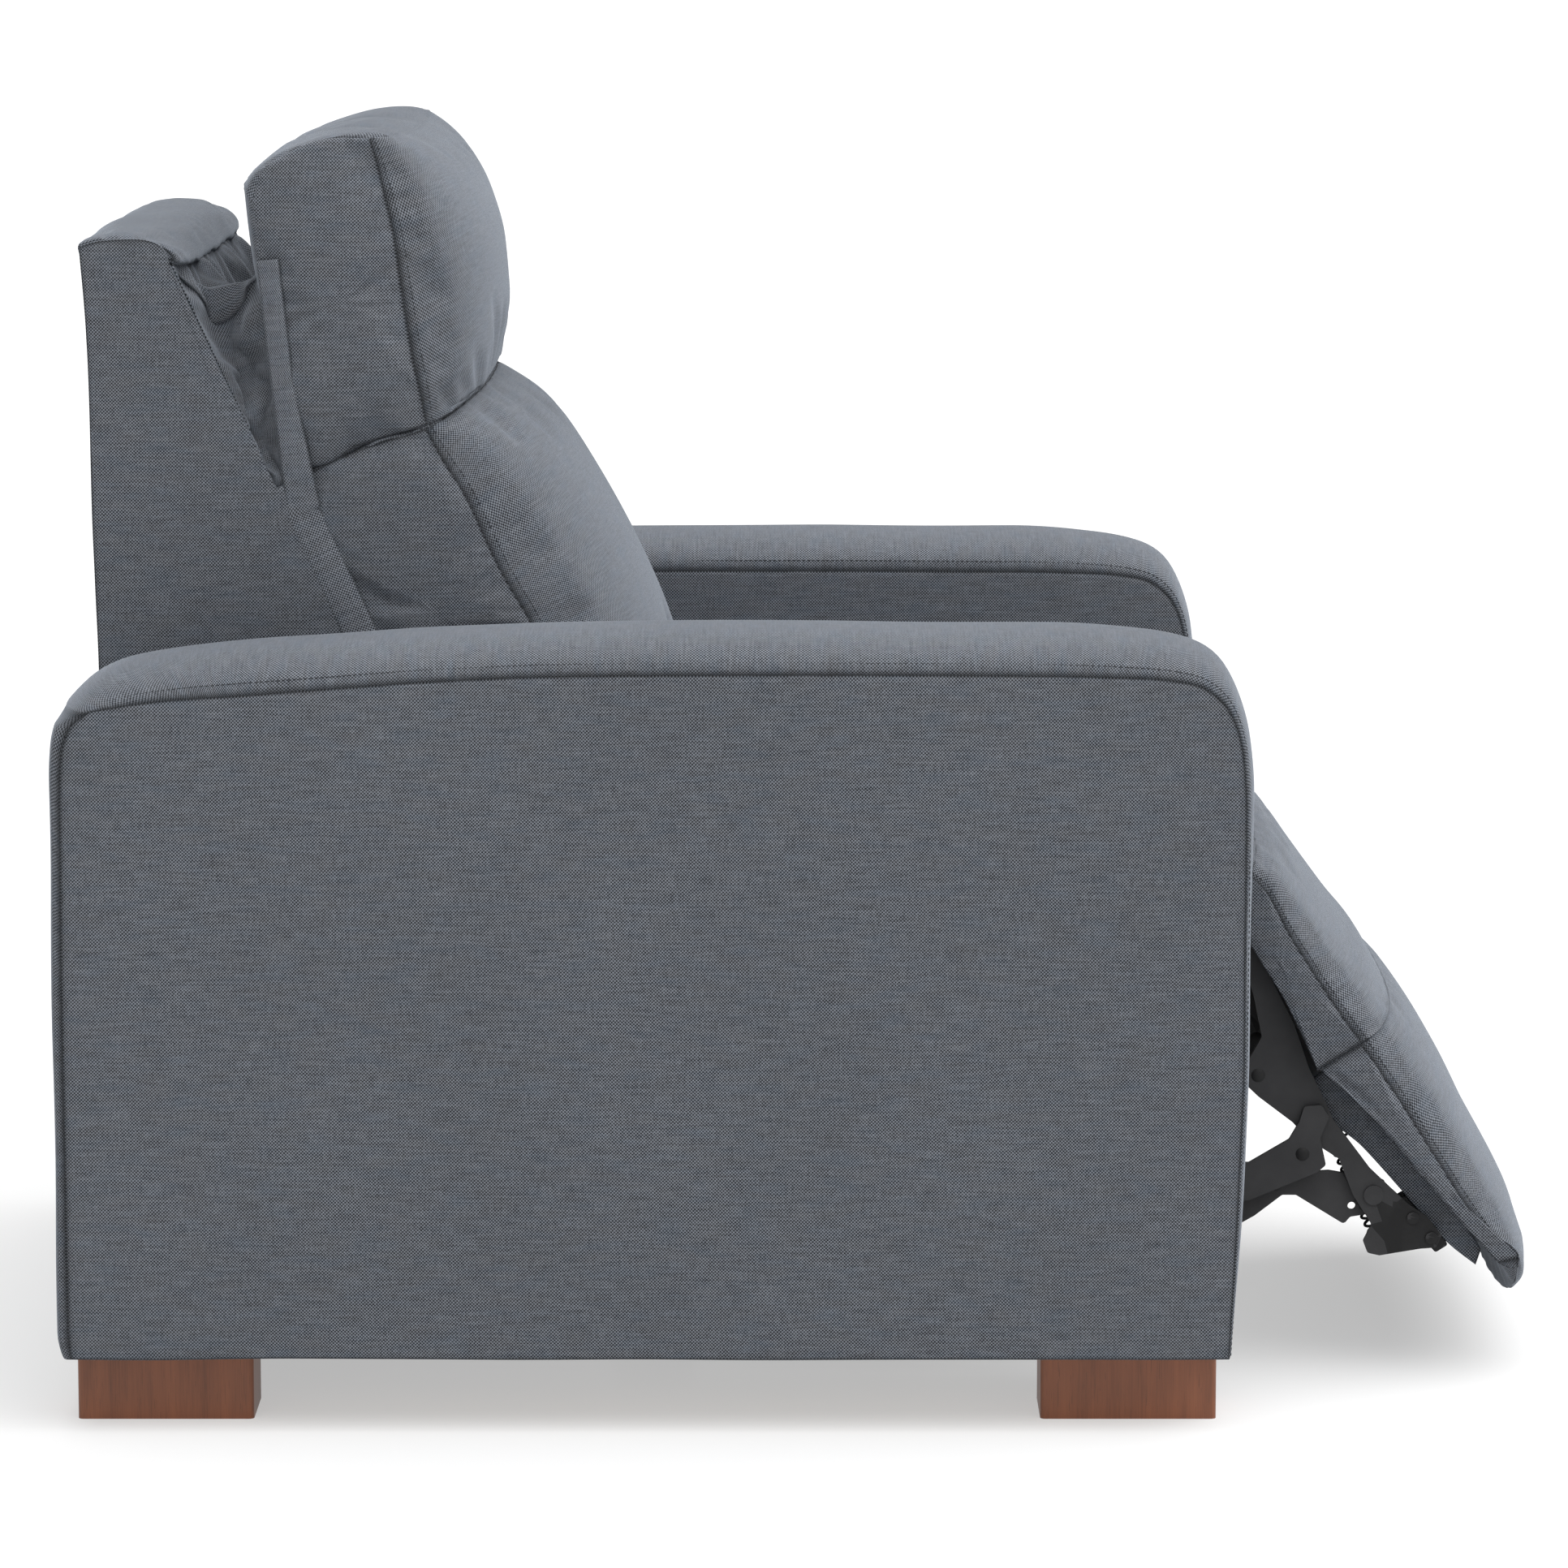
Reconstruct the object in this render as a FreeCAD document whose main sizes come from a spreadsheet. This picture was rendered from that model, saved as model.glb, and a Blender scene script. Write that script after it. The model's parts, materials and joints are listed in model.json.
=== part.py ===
import FreeCAD, Part
import math
import os

import Sketcher

# Power recliner chair, millimetres, +Z up. The chair faces -Y and its right arm is at -X.
# Places along the chair are "forward" distances from the rear of the arms.

doc = FreeCAD.newDocument("power_recliner")
sheet = doc.addObject("Spreadsheet::Sheet", "Sizes")

# Driving dimensions: word alias, value, meaning
SIZES = [
    ("overall_width", 860, "outer face of one arm to outer face of the other"),
    ("overall_length", 1182, "rear of the arms to the front of the footrest at rest"),
    ("arm_width", 160, "arm thickness"),
    ("arm_length", 930, "arm, rear to front"),
    ("arm_height", 625, "crown of the arm above the floor"),
    ("arm_crown", 32, "rise of the arm top from its side seam to its middle"),
    ("arm_padding", 18, "foam and fabric over the arm frame"),
    ("arm_frame_wall", 32, "wood of the arm frame"),
    ("foot_height", 57, "height of a foot"),
    ("foot_length", 138, "foot, rear to front"),
    ("foot_width", 70, "foot, across"),
    ("foot_setback_rear", 12, "rear foot from the arm's rear"),
    ("foot_setback_front", 25, "front foot from the arm's front"),
    ("foot_bolt_radius", 4, "bolt that holds a foot"),
    ("side_gap", 5, "gap between an arm and the back and cushions"),
    ("seat_gap", 0.4, "gap of a soft or enclosed piece from what it rests on"),
    ("rail_height", 44, "steel base rail, height"),
    ("rail_width", 16, "steel base rail, width"),
    ("rail_gauge", 4, "steel base rail, wall"),
    ("plate_gauge", 4, "mechanism plates"),
    ("layer_gap", 2, "gap between neighbouring mechanism plates"),
    ("pin_radius", 5, "mechanism pivot pins"),
    ("pin_clearance", 0.06, "running clearance of a pin in its hole"),
    ("cap_height", 1.4, "height of a pivot's head"),
    ("cap_radius", 8, "radius of a pivot's head"),
    ("seat_frame_bottom", 405, "underside of the seat frame"),
    ("seat_frame_thickness", 34, "seat frame wood"),
    ("seat_frame_rail", 45, "width of the seat frame's rails"),
    ("seat_front", 848, "front of the seat frame"),
    ("seat_rear", 335, "rear of the seat frame"),
    ("seat_cushion_thickness", 65, "seat cushion at its edges"),
    ("seat_crown", 12, "rise of the seat cushion's middle"),
    ("lift_forward", 790, "lift link pivot on the side plate, forward"),
    ("lift_height", 385, "height of the lift link pivot"),
    ("rear_pivot_setback", 58.6, "rear link pivot behind the lift link pivot"),
    ("back_forward", 255, "recline pivot, forward"),
    ("back_height", 345, "height of the recline pivot"),
    ("hinge_forward", 177, "headrest hinge, forward"),
    ("hinge_height", 697, "height of the headrest hinge"),
    ("back_lean", 24.6, "lean of the back's front line from upright, degrees"),
    ("head_lean", 6.2, "lean of the headrest from upright, degrees"),
    ("foot_lean", 32.3, "lean of the footrest pads from upright, degrees"),
    ("rear_face", 24, "rear face of the outer back"),
    ("back_panel", 16, "outer back panel with its padding"),
    ("outer_back_bottom", 240, "lower edge of the outer back"),
    ("outer_back_top", 898, "top of the outer back's panels"),
    ("rear_panel_top", 256, "top of the lower rear panel"),
    ("hinge_rod_radius", 6, "headrest hinge rod"),
    ("spring_wire", 3.2, "sinuous spring wire"),
    ("coil_wire", 2.4, "wire of the footrest's coil springs"),
    ("coil_radius", 6.2, "mean radius of the coil springs"),
    ("tube_size", 25, "square drive tube and cross tubes"),
    ("tube_wall", 2, "wall of the square tubes"),
    ("button_size", 15, "control button, square"),
    ("button_gap", 0.5, "gap around a button"),
    ("motor_width", 56, "motor housing, across"),
]
for row, (alias, number, meaning) in enumerate(SIZES, start=1):
    sheet.set("A%d" % row, meaning)
    sheet.set("B%d" % row, str(number))
    sheet.setAlias("B%d" % row, alias)
doc.recompute()


class Size:
    """A length that knows its number and the sheet formula that gives it."""

    def __init__(self, number, formula=None):
        self.number = float(number)
        self.formula = formula if formula else "%.6f" % number

    def __add__(self, other):
        other = as_size(other)
        return Size(self.number + other.number, "(%s + %s)" % (self.formula, other.formula))

    def __sub__(self, other):
        other = as_size(other)
        return Size(self.number - other.number, "(%s - %s)" % (self.formula, other.formula))

    def __mul__(self, factor):
        return Size(self.number * factor, "(%s * %.6f)" % (self.formula, factor))

    def __truediv__(self, factor):
        return self * (1.0 / factor)

    def __neg__(self):
        return self * -1.0

    __radd__ = __add__
    __rmul__ = __mul__

    def __rsub__(self, other):
        return as_size(other) - self


def as_size(value):
    return value if isinstance(value, Size) else Size(value)


S = {alias: Size(sheet.get(alias), "Sizes." + alias) for alias, number, meaning in SIZES}
X_AXIS = FreeCAD.Vector(1, 0, 0)
TURN_TO_X = FreeCAD.Rotation(FreeCAD.Vector(0, 1, 0), 90)
UPRIGHT = FreeCAD.Rotation()
nodes = []


def num(alias):
    return S[alias].number


def keep(feature, name):
    """Mark a finished sub-part: its label names its file."""
    feature.Label = name
    nodes.append(feature)
    return feature


def keep_pair(feature, name):
    """A right-hand sub-part and its left-hand twin."""
    keep(feature, name + "_right")
    keep(mirror(name + "_twin", feature), name + "_left")


def fwd(distance):
    """Y of a place that lies this far forward of the arms' rear."""
    return S["overall_length"] / 2 - as_size(distance)


def bind(feature, prop, value):
    feature.setExpression(prop, as_size(value).formula)


def place(feature, x, y, z):
    bind(feature, ".Placement.Base.x", x)
    bind(feature, ".Placement.Base.y", y)
    bind(feature, ".Placement.Base.z", z)
    return feature


def block(name, x, y, z, dx, dy, dz):
    """A box from its lowest corner and its three sizes."""
    box = doc.addObject("Part::Box", name)
    bind(box, "Length", dx)
    bind(box, "Width", dy)
    bind(box, "Height", dz)
    return place(box, x, y, z)


def between(name, x0, x1, rear, front, low, high):
    """A box between two places across, along and up."""
    return block(name, x0, fwd(front), low, as_size(x1) - x0, as_size(front) - rear,
                 as_size(high) - low)


def rod(name, turn, x, y, z, radius, length):
    """A round bar that starts at a point and runs along the turned Z axis."""
    bar = doc.addObject("Part::Cylinder", name)
    bind(bar, "Radius", radius)
    bind(bar, "Height", length)
    bar.Placement = FreeCAD.Placement(FreeCAD.Vector(), turn)
    return place(bar, x, y, z)


def fuse(name, parts):
    union = doc.addObject("Part::MultiFuse", name)
    union.Shapes = parts
    return union


def cut(name, base, tool):
    result = doc.addObject("Part::Cut", name)
    result.Base = base
    result.Tool = tool
    return result


def group(name, parts):
    """Identical loose pieces that share one node."""
    bundle = doc.addObject("Part::Compound", name)
    bundle.Links = parts
    return bundle


def mirror(name, source):
    """The left-hand twin of a right-hand piece."""
    twin = doc.addObject("Part::Mirroring", name)
    twin.Source = source
    twin.Base = FreeCAD.Vector(0, 0, 0)
    twin.Normal = X_AXIS
    return twin


def pin_point(sketch, geometry, vertex, y, z):
    """Hold a sketch point at a distance along both axes from the origin."""
    for kind, value in (("DistanceX", y), ("DistanceY", z)):
        constraint = Sketcher.Constraint(kind, -1, 1, geometry, vertex, value.number)
        index = sketch.addConstraint(constraint)
        sketch.setExpression("Constraints[%d]" % index, value.formula)


def corner_edges(shape, corners):
    """Names of the straight edges that stand on the outline's corners."""
    found = []
    for index, edge in enumerate(shape.Edges, start=1):
        if len(edge.Vertexes) != 2:
            continue
        first, second = edge.Vertexes
        if abs(first.Y - second.Y) > 1e-5 or abs(first.Z - second.Z) > 1e-5:
            continue
        if any(abs(first.Y - y.number) + abs(first.Z - z.number) < 1e-4 for y, z in corners):
            found.append("Edge%d" % index)
    return found


def plate(name, corners, x, thickness, holes=(), rounding=4.0):
    """A flat plate from its corners (y, z), with round holes (y, z, radius)."""
    body = doc.addObject("PartDesign::Body", name)
    sketch = body.newObject("Sketcher::SketchObject", name + "_outline")
    for plane in body.Origin.OriginFeatures:
        if plane.Role == "YZ_Plane":
            sketch.AttachmentSupport = (plane, [""])
    sketch.MapMode = "FlatFace"
    corners = [(as_size(y), as_size(z)) for y, z in corners]
    count = len(corners)
    for index, (y, z) in enumerate(corners):
        next_y, next_z = corners[(index + 1) % count]
        start = FreeCAD.Vector(y.number, z.number, 0)
        end = FreeCAD.Vector(next_y.number, next_z.number, 0)
        sketch.addGeometry(Part.LineSegment(start, end), False)
    for index in range(count):
        sketch.addConstraint(Sketcher.Constraint("Coincident", index, 2, (index + 1) % count, 1))
    for index, (y, z) in enumerate(corners):
        pin_point(sketch, index, 1, y, z)
    for y, z, radius in holes:
        y, z, radius = as_size(y), as_size(z), as_size(radius)
        centre = FreeCAD.Vector(y.number, z.number, 0)
        circle = Part.Circle(centre, FreeCAD.Vector(0, 0, 1), radius.number)
        hole = sketch.addGeometry(circle, False)
        size = sketch.addConstraint(Sketcher.Constraint("Radius", hole, radius.number))
        sketch.setExpression("Constraints[%d]" % size, radius.formula)
        pin_point(sketch, hole, 3, y, z)
    pad = body.newObject("PartDesign::Pad", name + "_pad")
    pad.Profile = sketch
    bind(pad, "Length", thickness)
    if rounding:
        doc.recompute()
        fillet = body.newObject("PartDesign::Fillet", name + "_rounding")
        fillet.Base = (pad, corner_edges(pad.Shape, corners))
        fillet.Radius = rounding
    bind(body, ".Placement.Base.x", x)
    return body


def lean(feature, angle, forward, height):
    """Stand a piece drawn about its own pivot at that pivot, leaning back by an angle."""
    start = feature.Placement.Base
    feature.Placement = FreeCAD.Placement(start, FreeCAD.Rotation(X_AXIS, -angle.number))
    bind(feature, ".Placement.Base.y", fwd(forward))
    bind(feature, ".Placement.Base.z", height)
    return feature


def leaning_block(name, pivot, x0, x1, out, up):
    """A box in a leaning frame: across, out from the frame's line, and up along it."""
    outline = [(-out[1], up[0]), (-out[0], up[0]), (-out[0], up[1]), (-out[1], up[1])]
    return lean(plate(name, outline, x0, as_size(x1) - x0, rounding=0), *pivot)


# Soft pieces: lofts through side-view sections that swell from the side seams to the middle

def side_wire(x, start, segments, swell):
    """One closed section. Each point is a pair (side, middle) of (forward, up)."""
    def point(pair):
        side, middle = pair
        forward = side[0] + (middle[0] - side[0]) * swell
        up = side[1] + (middle[1] - side[1]) * swell
        return FreeCAD.Vector(x, -forward, up)
    first = point(start)
    here = first
    edges = []
    for segment in segments:
        end = point(segment[-1])
        if len(segment) == 1:
            edges.append(Part.LineSegment(here, end).toShape())
        else:
            edges.append(Part.Arc(here, point(segment[0]), end).toShape())
        here = end
    edges.append(Part.LineSegment(here, first).toShape())
    return Part.Wire(edges)


SWELL_STEPS = 8


def cushion(name, reach, start, segments, middle_x=0.0):
    """A padded form, flat at its two side faces and full in its middle, like half an ellipse."""
    wires = []
    for index in range(SWELL_STEPS + 1):
        angle = math.pi * index / SWELL_STEPS
        wires.append(side_wire(middle_x - reach * math.cos(angle), start, segments, math.sin(angle)))
    feature = doc.addObject("Part::Feature", name)
    feature.Shape = Part.makeLoft(wires, True, False)
    return feature


def stand(feature, angle=0.0, forward=0.0, height=0.0):
    """Put a form drawn about a pivot where that pivot is."""
    turn = FreeCAD.Rotation(X_AXIS, -angle)
    feature.Placement = FreeCAD.Placement(FreeCAD.Vector(0, fwd(forward).number, height), turn)
    return feature


def same(forward, up):
    """A point that lies in the same place at the sides and in the middle."""
    return (forward, up), (forward, up)


half_width = S["overall_width"] / 2
inner_half = half_width - S["arm_width"]
soft_half = inner_half - S["side_gap"]
arm_middle = half_width - S["arm_width"] / 2
arm_bottom = S["foot_height"]


# Arms: padded cover over a wooden frame

def make_arm_form():
    long = num("arm_length")
    top = num("arm_height")
    seam = top - num("arm_crown")
    low = arm_bottom.number
    start = ((13, low), (2, low))
    segments = [
        [((13, seam - 65), (0, top - 105))],
        [((16, seam - 37), (11, top - 58)), ((34, seam - 27), (40, top - 34))],
        [((150, seam - 16), (150, top - 14)), ((300, seam - 4), (300, top - 5))],
        [((587, seam + 1), (560, top)), ((long - 83, seam - 2), (long - 83, top - 7))],
        [((long - 30, seam - 11), (long - 25, top - 28)), ((long - 14, seam - 33), (long - 5, top - 73))],
        [((long - 8, seam - 150), (long, top - 185)), ((long - 8, low + 240), (long - 2, low + 240))],
        [((long - 18, low), (long - 15, low))],
    ]
    return stand(cushion("arm_form", num("arm_width") / 2, start, segments, -arm_middle.number))


cover_rear = S["arm_padding"] + 13
cover_front = S["arm_length"] - S["arm_padding"] - 8
cover_top = S["arm_height"] - S["arm_crown"] - S["arm_padding"] * 2
frame_rear = cover_rear + S["seat_gap"]
frame_front = cover_front - S["seat_gap"]
frame_top = cover_top - S["seat_gap"]
frame_out = half_width - S["arm_padding"] - S["seat_gap"]
frame_in = inner_half + S["arm_padding"] + S["seat_gap"]

cavity = between("arm_cavity", -frame_out - S["seat_gap"], -frame_in + S["seat_gap"],
                 cover_rear, cover_front, arm_bottom - 5, cover_top)
panel_rear = 690
panel_front = 830
panel_low = 535
panel_high = 585
BEZEL_DEPTH = 12
BEZEL_LIP = 3
pocket = between("panel_pocket", -inner_half - BEZEL_DEPTH, -inner_half + 1,
                 panel_rear, panel_front, panel_low, panel_high)
arm_form = make_arm_form()
keep(cut("right_arm_cover", arm_form, fuse("arm_hollows", [cavity, pocket])), "arm_cover_right")
keep(mirror("left_arm_cover", cut("plain_arm_cover", arm_form, cavity)), "arm_cover_left")

wall = S["arm_frame_wall"]
bay_rear = frame_rear + wall
bay_front = frame_front - wall
bay_middle = (bay_rear + bay_front) / 2
BOLT_IN_FOOT = 26
BOLT_IN_FRAME = 20
frame_cuts = []
for word, rear, front in (("rear", bay_rear, bay_middle - wall / 2),
                          ("front", bay_middle + wall / 2, bay_front)):
    frame_cuts.append(between("arm_bay_" + word, -frame_out - 1, -frame_in + 1, rear, front,
                              arm_bottom + wall, frame_top - wall))
foot_places = (("rear", S["foot_setback_rear"]),
               ("front", S["arm_length"] - S["foot_setback_front"] - S["foot_length"]))
for word, setback in foot_places:
    centre = fwd(setback + S["foot_length"] / 2)
    frame_cuts.append(rod("frame_hole_" + word, UPRIGHT, -arm_middle, centre, arm_bottom - 1,
                          S["foot_bolt_radius"] + S["pin_clearance"], BOLT_IN_FRAME + 1))
arm_block = between("arm_frame_block", -frame_out, -frame_in, frame_rear, frame_front,
                    arm_bottom, frame_top)
keep_pair(cut("arm_frame_shape", arm_block, fuse("arm_frame_cuts", frame_cuts)), "arm_frame")

# Feet, each bolted into its arm frame
FOOT_ROUNDING = 4.0
bolts = []
for word, setback in foot_places:
    centre = fwd(setback + S["foot_length"] / 2)
    raw = block("foot_block_" + word, -arm_middle - S["foot_width"] / 2, fwd(setback + S["foot_length"]),
                0, S["foot_width"], S["foot_length"], S["foot_height"])
    doc.recompute()
    upright_edges = []
    for index, edge in enumerate(raw.Shape.Edges, start=1):
        if abs(edge.Vertexes[1].Z - edge.Vertexes[0].Z) > 1:
            upright_edges.append((index, FOOT_ROUNDING, FOOT_ROUNDING))
    rounded = doc.addObject("Part::Fillet", "foot_rounded_" + word)
    rounded.Base = raw
    rounded.Edges = upright_edges
    hole = rod("foot_hole_" + word, UPRIGHT, -arm_middle, centre, S["foot_height"] - BOLT_IN_FOOT,
               S["foot_bolt_radius"] + S["pin_clearance"], BOLT_IN_FOOT + 1)
    foot = cut("foot_%s_shape" % word, rounded, hole)
    keep_pair(foot, "foot_" + word)
    bolt = rod("foot_bolt_" + word, UPRIGHT, -arm_middle, centre, S["foot_height"] - BOLT_IN_FOOT,
               S["foot_bolt_radius"], BOLT_IN_FOOT + BOLT_IN_FRAME)
    bolts += [bolt, mirror("foot_bolt_%s_twin" % word, bolt)]
keep(group("foot_bolt_set", bolts), "foot_bolts")

# Steel base: side rails between the arms, cross tubes, rear rail and rear panel
RAIL_LOW = 66
RAIL_REAR = 60
rail_front = S["arm_length"] - 70
rail_in = inner_half - S["rail_width"]
rail_web = inner_half - S["rail_gauge"]
rail_solid = between("rail_solid", -inner_half, -rail_in, RAIL_REAR, rail_front,
                     RAIL_LOW, S["rail_height"] + RAIL_LOW)
rail_hollow = between("rail_hollow", -rail_web, -rail_in + 1, RAIL_REAR - 1, rail_front + 1,
                      S["rail_gauge"] + RAIL_LOW, S["rail_height"] - S["rail_gauge"] + RAIL_LOW)
keep_pair(cut("rail_shape", rail_solid, rail_hollow), "base_rail")

tube = S["tube_size"]
tube_low = S["rail_gauge"] + RAIL_LOW
FRONT_TUBE = 545
REAR_TUBE = 100


def square_tube(name, reach, forward, low):
    """Square tube across the chair, open at its ends."""
    thin = S["tube_wall"]
    rear = as_size(forward) - tube / 2
    solid = between(name + "_solid", -reach, reach, rear, rear + tube, low, low + tube)
    bore = between(name + "_bore", -reach - 1, reach + 1, rear + thin, rear + tube - thin,
                   low + thin, low + tube - thin)
    return cut(name, solid, bore)


keep(group("cross_tube_set", [square_tube("front_tube", rail_web, FRONT_TUBE, tube_low),
                              square_tube("rear_tube", rail_web, REAR_TUBE, tube_low)]), "cross_tubes")

PANEL_REAR = 4
PANEL_LOW = 62
rear_board = between("rear_board", -inner_half, inner_half, PANEL_REAR, S["back_panel"] + PANEL_REAR,
                     PANEL_LOW, S["rear_panel_top"])
inlet_hole = between("inlet_hole", 98, 126, PANEL_REAR - 1, S["back_panel"] + PANEL_REAR + 1, 90, 110)
keep(cut("rear_panel_shape", rear_board, inlet_hole), "rear_panel")
rail_face = S["back_panel"] + PANEL_REAR
keep(between("rear_rail_shape", -inner_half, inner_half, rail_face, rail_face + 22, 140, 180), "rear_rail")
keep(between("supply_shape", 60, 190, rail_face, rail_face + 42, 70, 134), "power_supply")
inlet_body = between("inlet_body", 98.3, 125.7, PANEL_REAR - 2, rail_face, 90.3, 109.7)
inlet_socket = between("inlet_socket", 103, 121, PANEL_REAR - 3, rail_face - 4, 94, 106)
keep(cut("inlet_shape", inlet_body, inlet_socket), "power_inlet")

# Side plates of the mechanism: they carry the linkage, the seat frame and the back
gauge = S["plate_gauge"]
step = gauge + S["layer_gap"]
PLATE_LAYER = 0
INNER_LAYER = 1
LIFT_LAYER = 2
OTTOMAN_LAYER = 3
REAR_LAYER = 4
CAP_GAP = 0.3


def outer(index):
    """Outer face of a layer of plates, counted inwards from the side plate."""
    return rail_in - step * index


def inner(index):
    """Inner face of a layer of plates."""
    return outer(index) - gauge


def stud_inwards(name, y, z, start, end, cap_radius=None):
    """A pin that grows from one layer inwards through another, with a head past it."""
    cap_radius = cap_radius if cap_radius else S["cap_radius"]
    tip = inner(end) - CAP_GAP
    pin = rod(name + "_pin", TURN_TO_X, -outer(start), y, z, S["pin_radius"], outer(start) - tip)
    cap = rod(name + "_cap", TURN_TO_X, -tip, y, z, cap_radius, S["cap_height"])
    return [pin, cap]


def stud_outwards(name, y, z, start, end):
    """A pin that grows from one layer outwards through another, with a head past it."""
    tip = outer(end) + CAP_GAP
    pin = rod(name + "_pin", TURN_TO_X, -tip, y, z, S["pin_radius"], tip - inner(start))
    cap = rod(name + "_cap", TURN_TO_X, -tip - S["cap_height"], y, z, S["cap_radius"], S["cap_height"])
    return [pin, cap]


lift_forward = S["lift_forward"]
lift_height = S["lift_height"]
rear_forward = lift_forward - S["rear_pivot_setback"]
back_forward = S["back_forward"]
back_height = S["back_height"]
pin_hole = S["pin_radius"] + S["pin_clearance"]
plate_top = S["seat_frame_bottom"]
leg_low = RAIL_LOW + 2
side_corners = [
    (back_forward - 28, back_height + 22), (back_forward + 60, back_height + 30),
    (back_forward + 85, plate_top), (lift_forward + 20, plate_top),
    (lift_forward + 20, lift_height - 20), (rear_forward - 24, lift_height - 22),
    (650, back_height - 20), (650, leg_low), (590, leg_low), (570, back_height - 10),
    (350, back_height - 10), (324, leg_low), (256, leg_low), (back_forward - 32, back_height - 30),
]
side_blank = plate("side_blank", [(fwd(u), z) for u, z in side_corners], -outer(PLATE_LAYER), gauge,
                   rounding=8.0)
side_parts = [side_blank]
side_parts += stud_inwards("lift_pivot", fwd(lift_forward), lift_height, PLATE_LAYER, LIFT_LAYER)
side_parts += stud_inwards("rear_pivot", fwd(rear_forward), lift_height, PLATE_LAYER, REAR_LAYER)
side_parts += stud_inwards("back_pivot", fwd(back_forward), back_height, PLATE_LAYER, INNER_LAYER)
keep_pair(fuse("side_plate_shape", side_parts), "side_plate")

# Footrest linkage pivots at rest, as (forward, up) from the lift link pivot
LIFT_TO_OTTOMAN = (32.29, -280.0)
LIFT_TO_INNER = (-1.61, -223.32)
OTTOMAN_TO_REAR = (-20.74, -282.95)
OTTOMAN_TO_PAD = (250.0, -236.74)
INNER_TO_PAD = (202.0, -173.0)
OPEN_PAD_CLEARANCE = 4.9
OPEN_REAR_CLEARANCE = 3.0
RIVET_HOLE = 3.2


def hung(point):
    """Y and Z of a place given from the lift link pivot."""
    return fwd(lift_forward + point[0]), lift_height + point[1]


def hung_corners(corners):
    return [hung(corner) for corner in corners]


# Lift link: hangs from the side plate, carries the ottoman link and the inner link
lift_blank = plate("lift_blank", hung_corners([
    (-13, 9), (-5, 15), (6, 15), (15, 5), (24, -34), (50, -60), (57, -82), (30, -100), (33, -150),
    (46, -270), (46, -287), (37, -294), (24, -294), (10, -250), (-12, -240), (-17, -228),
    (-12, -205), (-8, -150), (-13, -40)]), -outer(LIFT_LAYER), gauge,
    [(*hung((0, 0)), pin_hole)])
lift_parts = [lift_blank]
lift_parts += stud_inwards("ottoman_pivot", *hung(LIFT_TO_OTTOMAN), LIFT_LAYER, OTTOMAN_LAYER)
lift_parts += stud_outwards("inner_pivot", *hung(LIFT_TO_INNER), LIFT_LAYER, INNER_LAYER)
keep_pair(fuse("lift_shape", lift_parts), "lift_link")

# Drive tube: square tube between the two lift links
DRIVE_TUBE = (39, -68)
drive_middle = lift_forward + DRIVE_TUBE[0]
keep(square_tube("drive_shape", inner(LIFT_LAYER), drive_middle, lift_height + DRIVE_TUBE[1] - tube / 2),
     "drive_tube")

# Ottoman link: broad bent plate whose front end carries the footrest
ottoman_blank = plate("ottoman_blank", hung_corners([
    (-32, -272), (-12, -268), (20, -262), (90, -262), (150, -240), (200, -219), (214, -218),
    (244, -223), (259, -226), (264, -238), (256, -249), (245, -254), (232, -256), (227, -262),
    (188, -238), (177, -238), (155, -255), (120, -275), (60, -294), (-10, -298), (-32, -295)]),
    -outer(OTTOMAN_LAYER), gauge,
    [(*hung(LIFT_TO_OTTOMAN), pin_hole), (*hung((233, -247)), RIVET_HOLE), (*hung((172, -229)), 4.5)],
    rounding=3.0)
ottoman_parts = [ottoman_blank]
ottoman_parts += stud_outwards("pad_pivot", *hung(OTTOMAN_TO_PAD), OTTOMAN_LAYER, LIFT_LAYER)
ottoman_parts += stud_inwards("rear_link_pivot", *hung(OTTOMAN_TO_REAR), OTTOMAN_LAYER, REAR_LAYER,
                              cap_radius=S["pin_radius"] + OPEN_REAR_CLEARANCE + 2)
keep_pair(fuse("ottoman_shape", ottoman_parts), "ottoman_link")

# Inner link: boomerang with a neck up to the footrest bracket
inner_blank = plate("inner_blank", hung_corners([
    (-14, -216), (-6, -209), (30, -206), (149, -209), (181, -190), (189, -176), (193, -163),
    (207, -162), (213, -172), (206, -189), (211, -211), (204, -217), (149, -240), (20, -240),
    (-12, -236)]), -outer(INNER_LAYER), gauge,
    [(*hung(LIFT_TO_INNER), pin_hole), (*hung((192, -202)), RIVET_HOLE)], rounding=3.0)
inner_parts = [inner_blank]
inner_parts += stud_inwards("open_pad_pivot", *hung(INNER_TO_PAD), INNER_LAYER, LIFT_LAYER,
                            cap_radius=S["pin_radius"] + OPEN_PAD_CLEARANCE)
keep_pair(fuse("inner_shape", inner_parts), "inner_link")

# Rear link: from the side plate to the rear end of the ottoman link, with a clearance hole there
rear_x = -num("rear_pivot_setback")
end_x, end_z = OTTOMAN_TO_REAR
rear_blank = plate("rear_blank", hung_corners([
    (rear_x - 13, 8), (rear_x - 5, 14), (rear_x + 6, 14), (rear_x + 14, 6), (end_x + 14, end_z + 6),
    (end_x + 13, end_z - 9), (end_x + 4, end_z - 14), (end_x - 8, end_z - 13),
    (end_x - 14, end_z - 2)]), -outer(REAR_LAYER), gauge,
    [(*hung((rear_x, 0)), pin_hole), (*hung(OTTOMAN_TO_REAR), S["pin_radius"] + OPEN_REAR_CLEARANCE)])
keep_pair(rear_blank, "rear_link")

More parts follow.
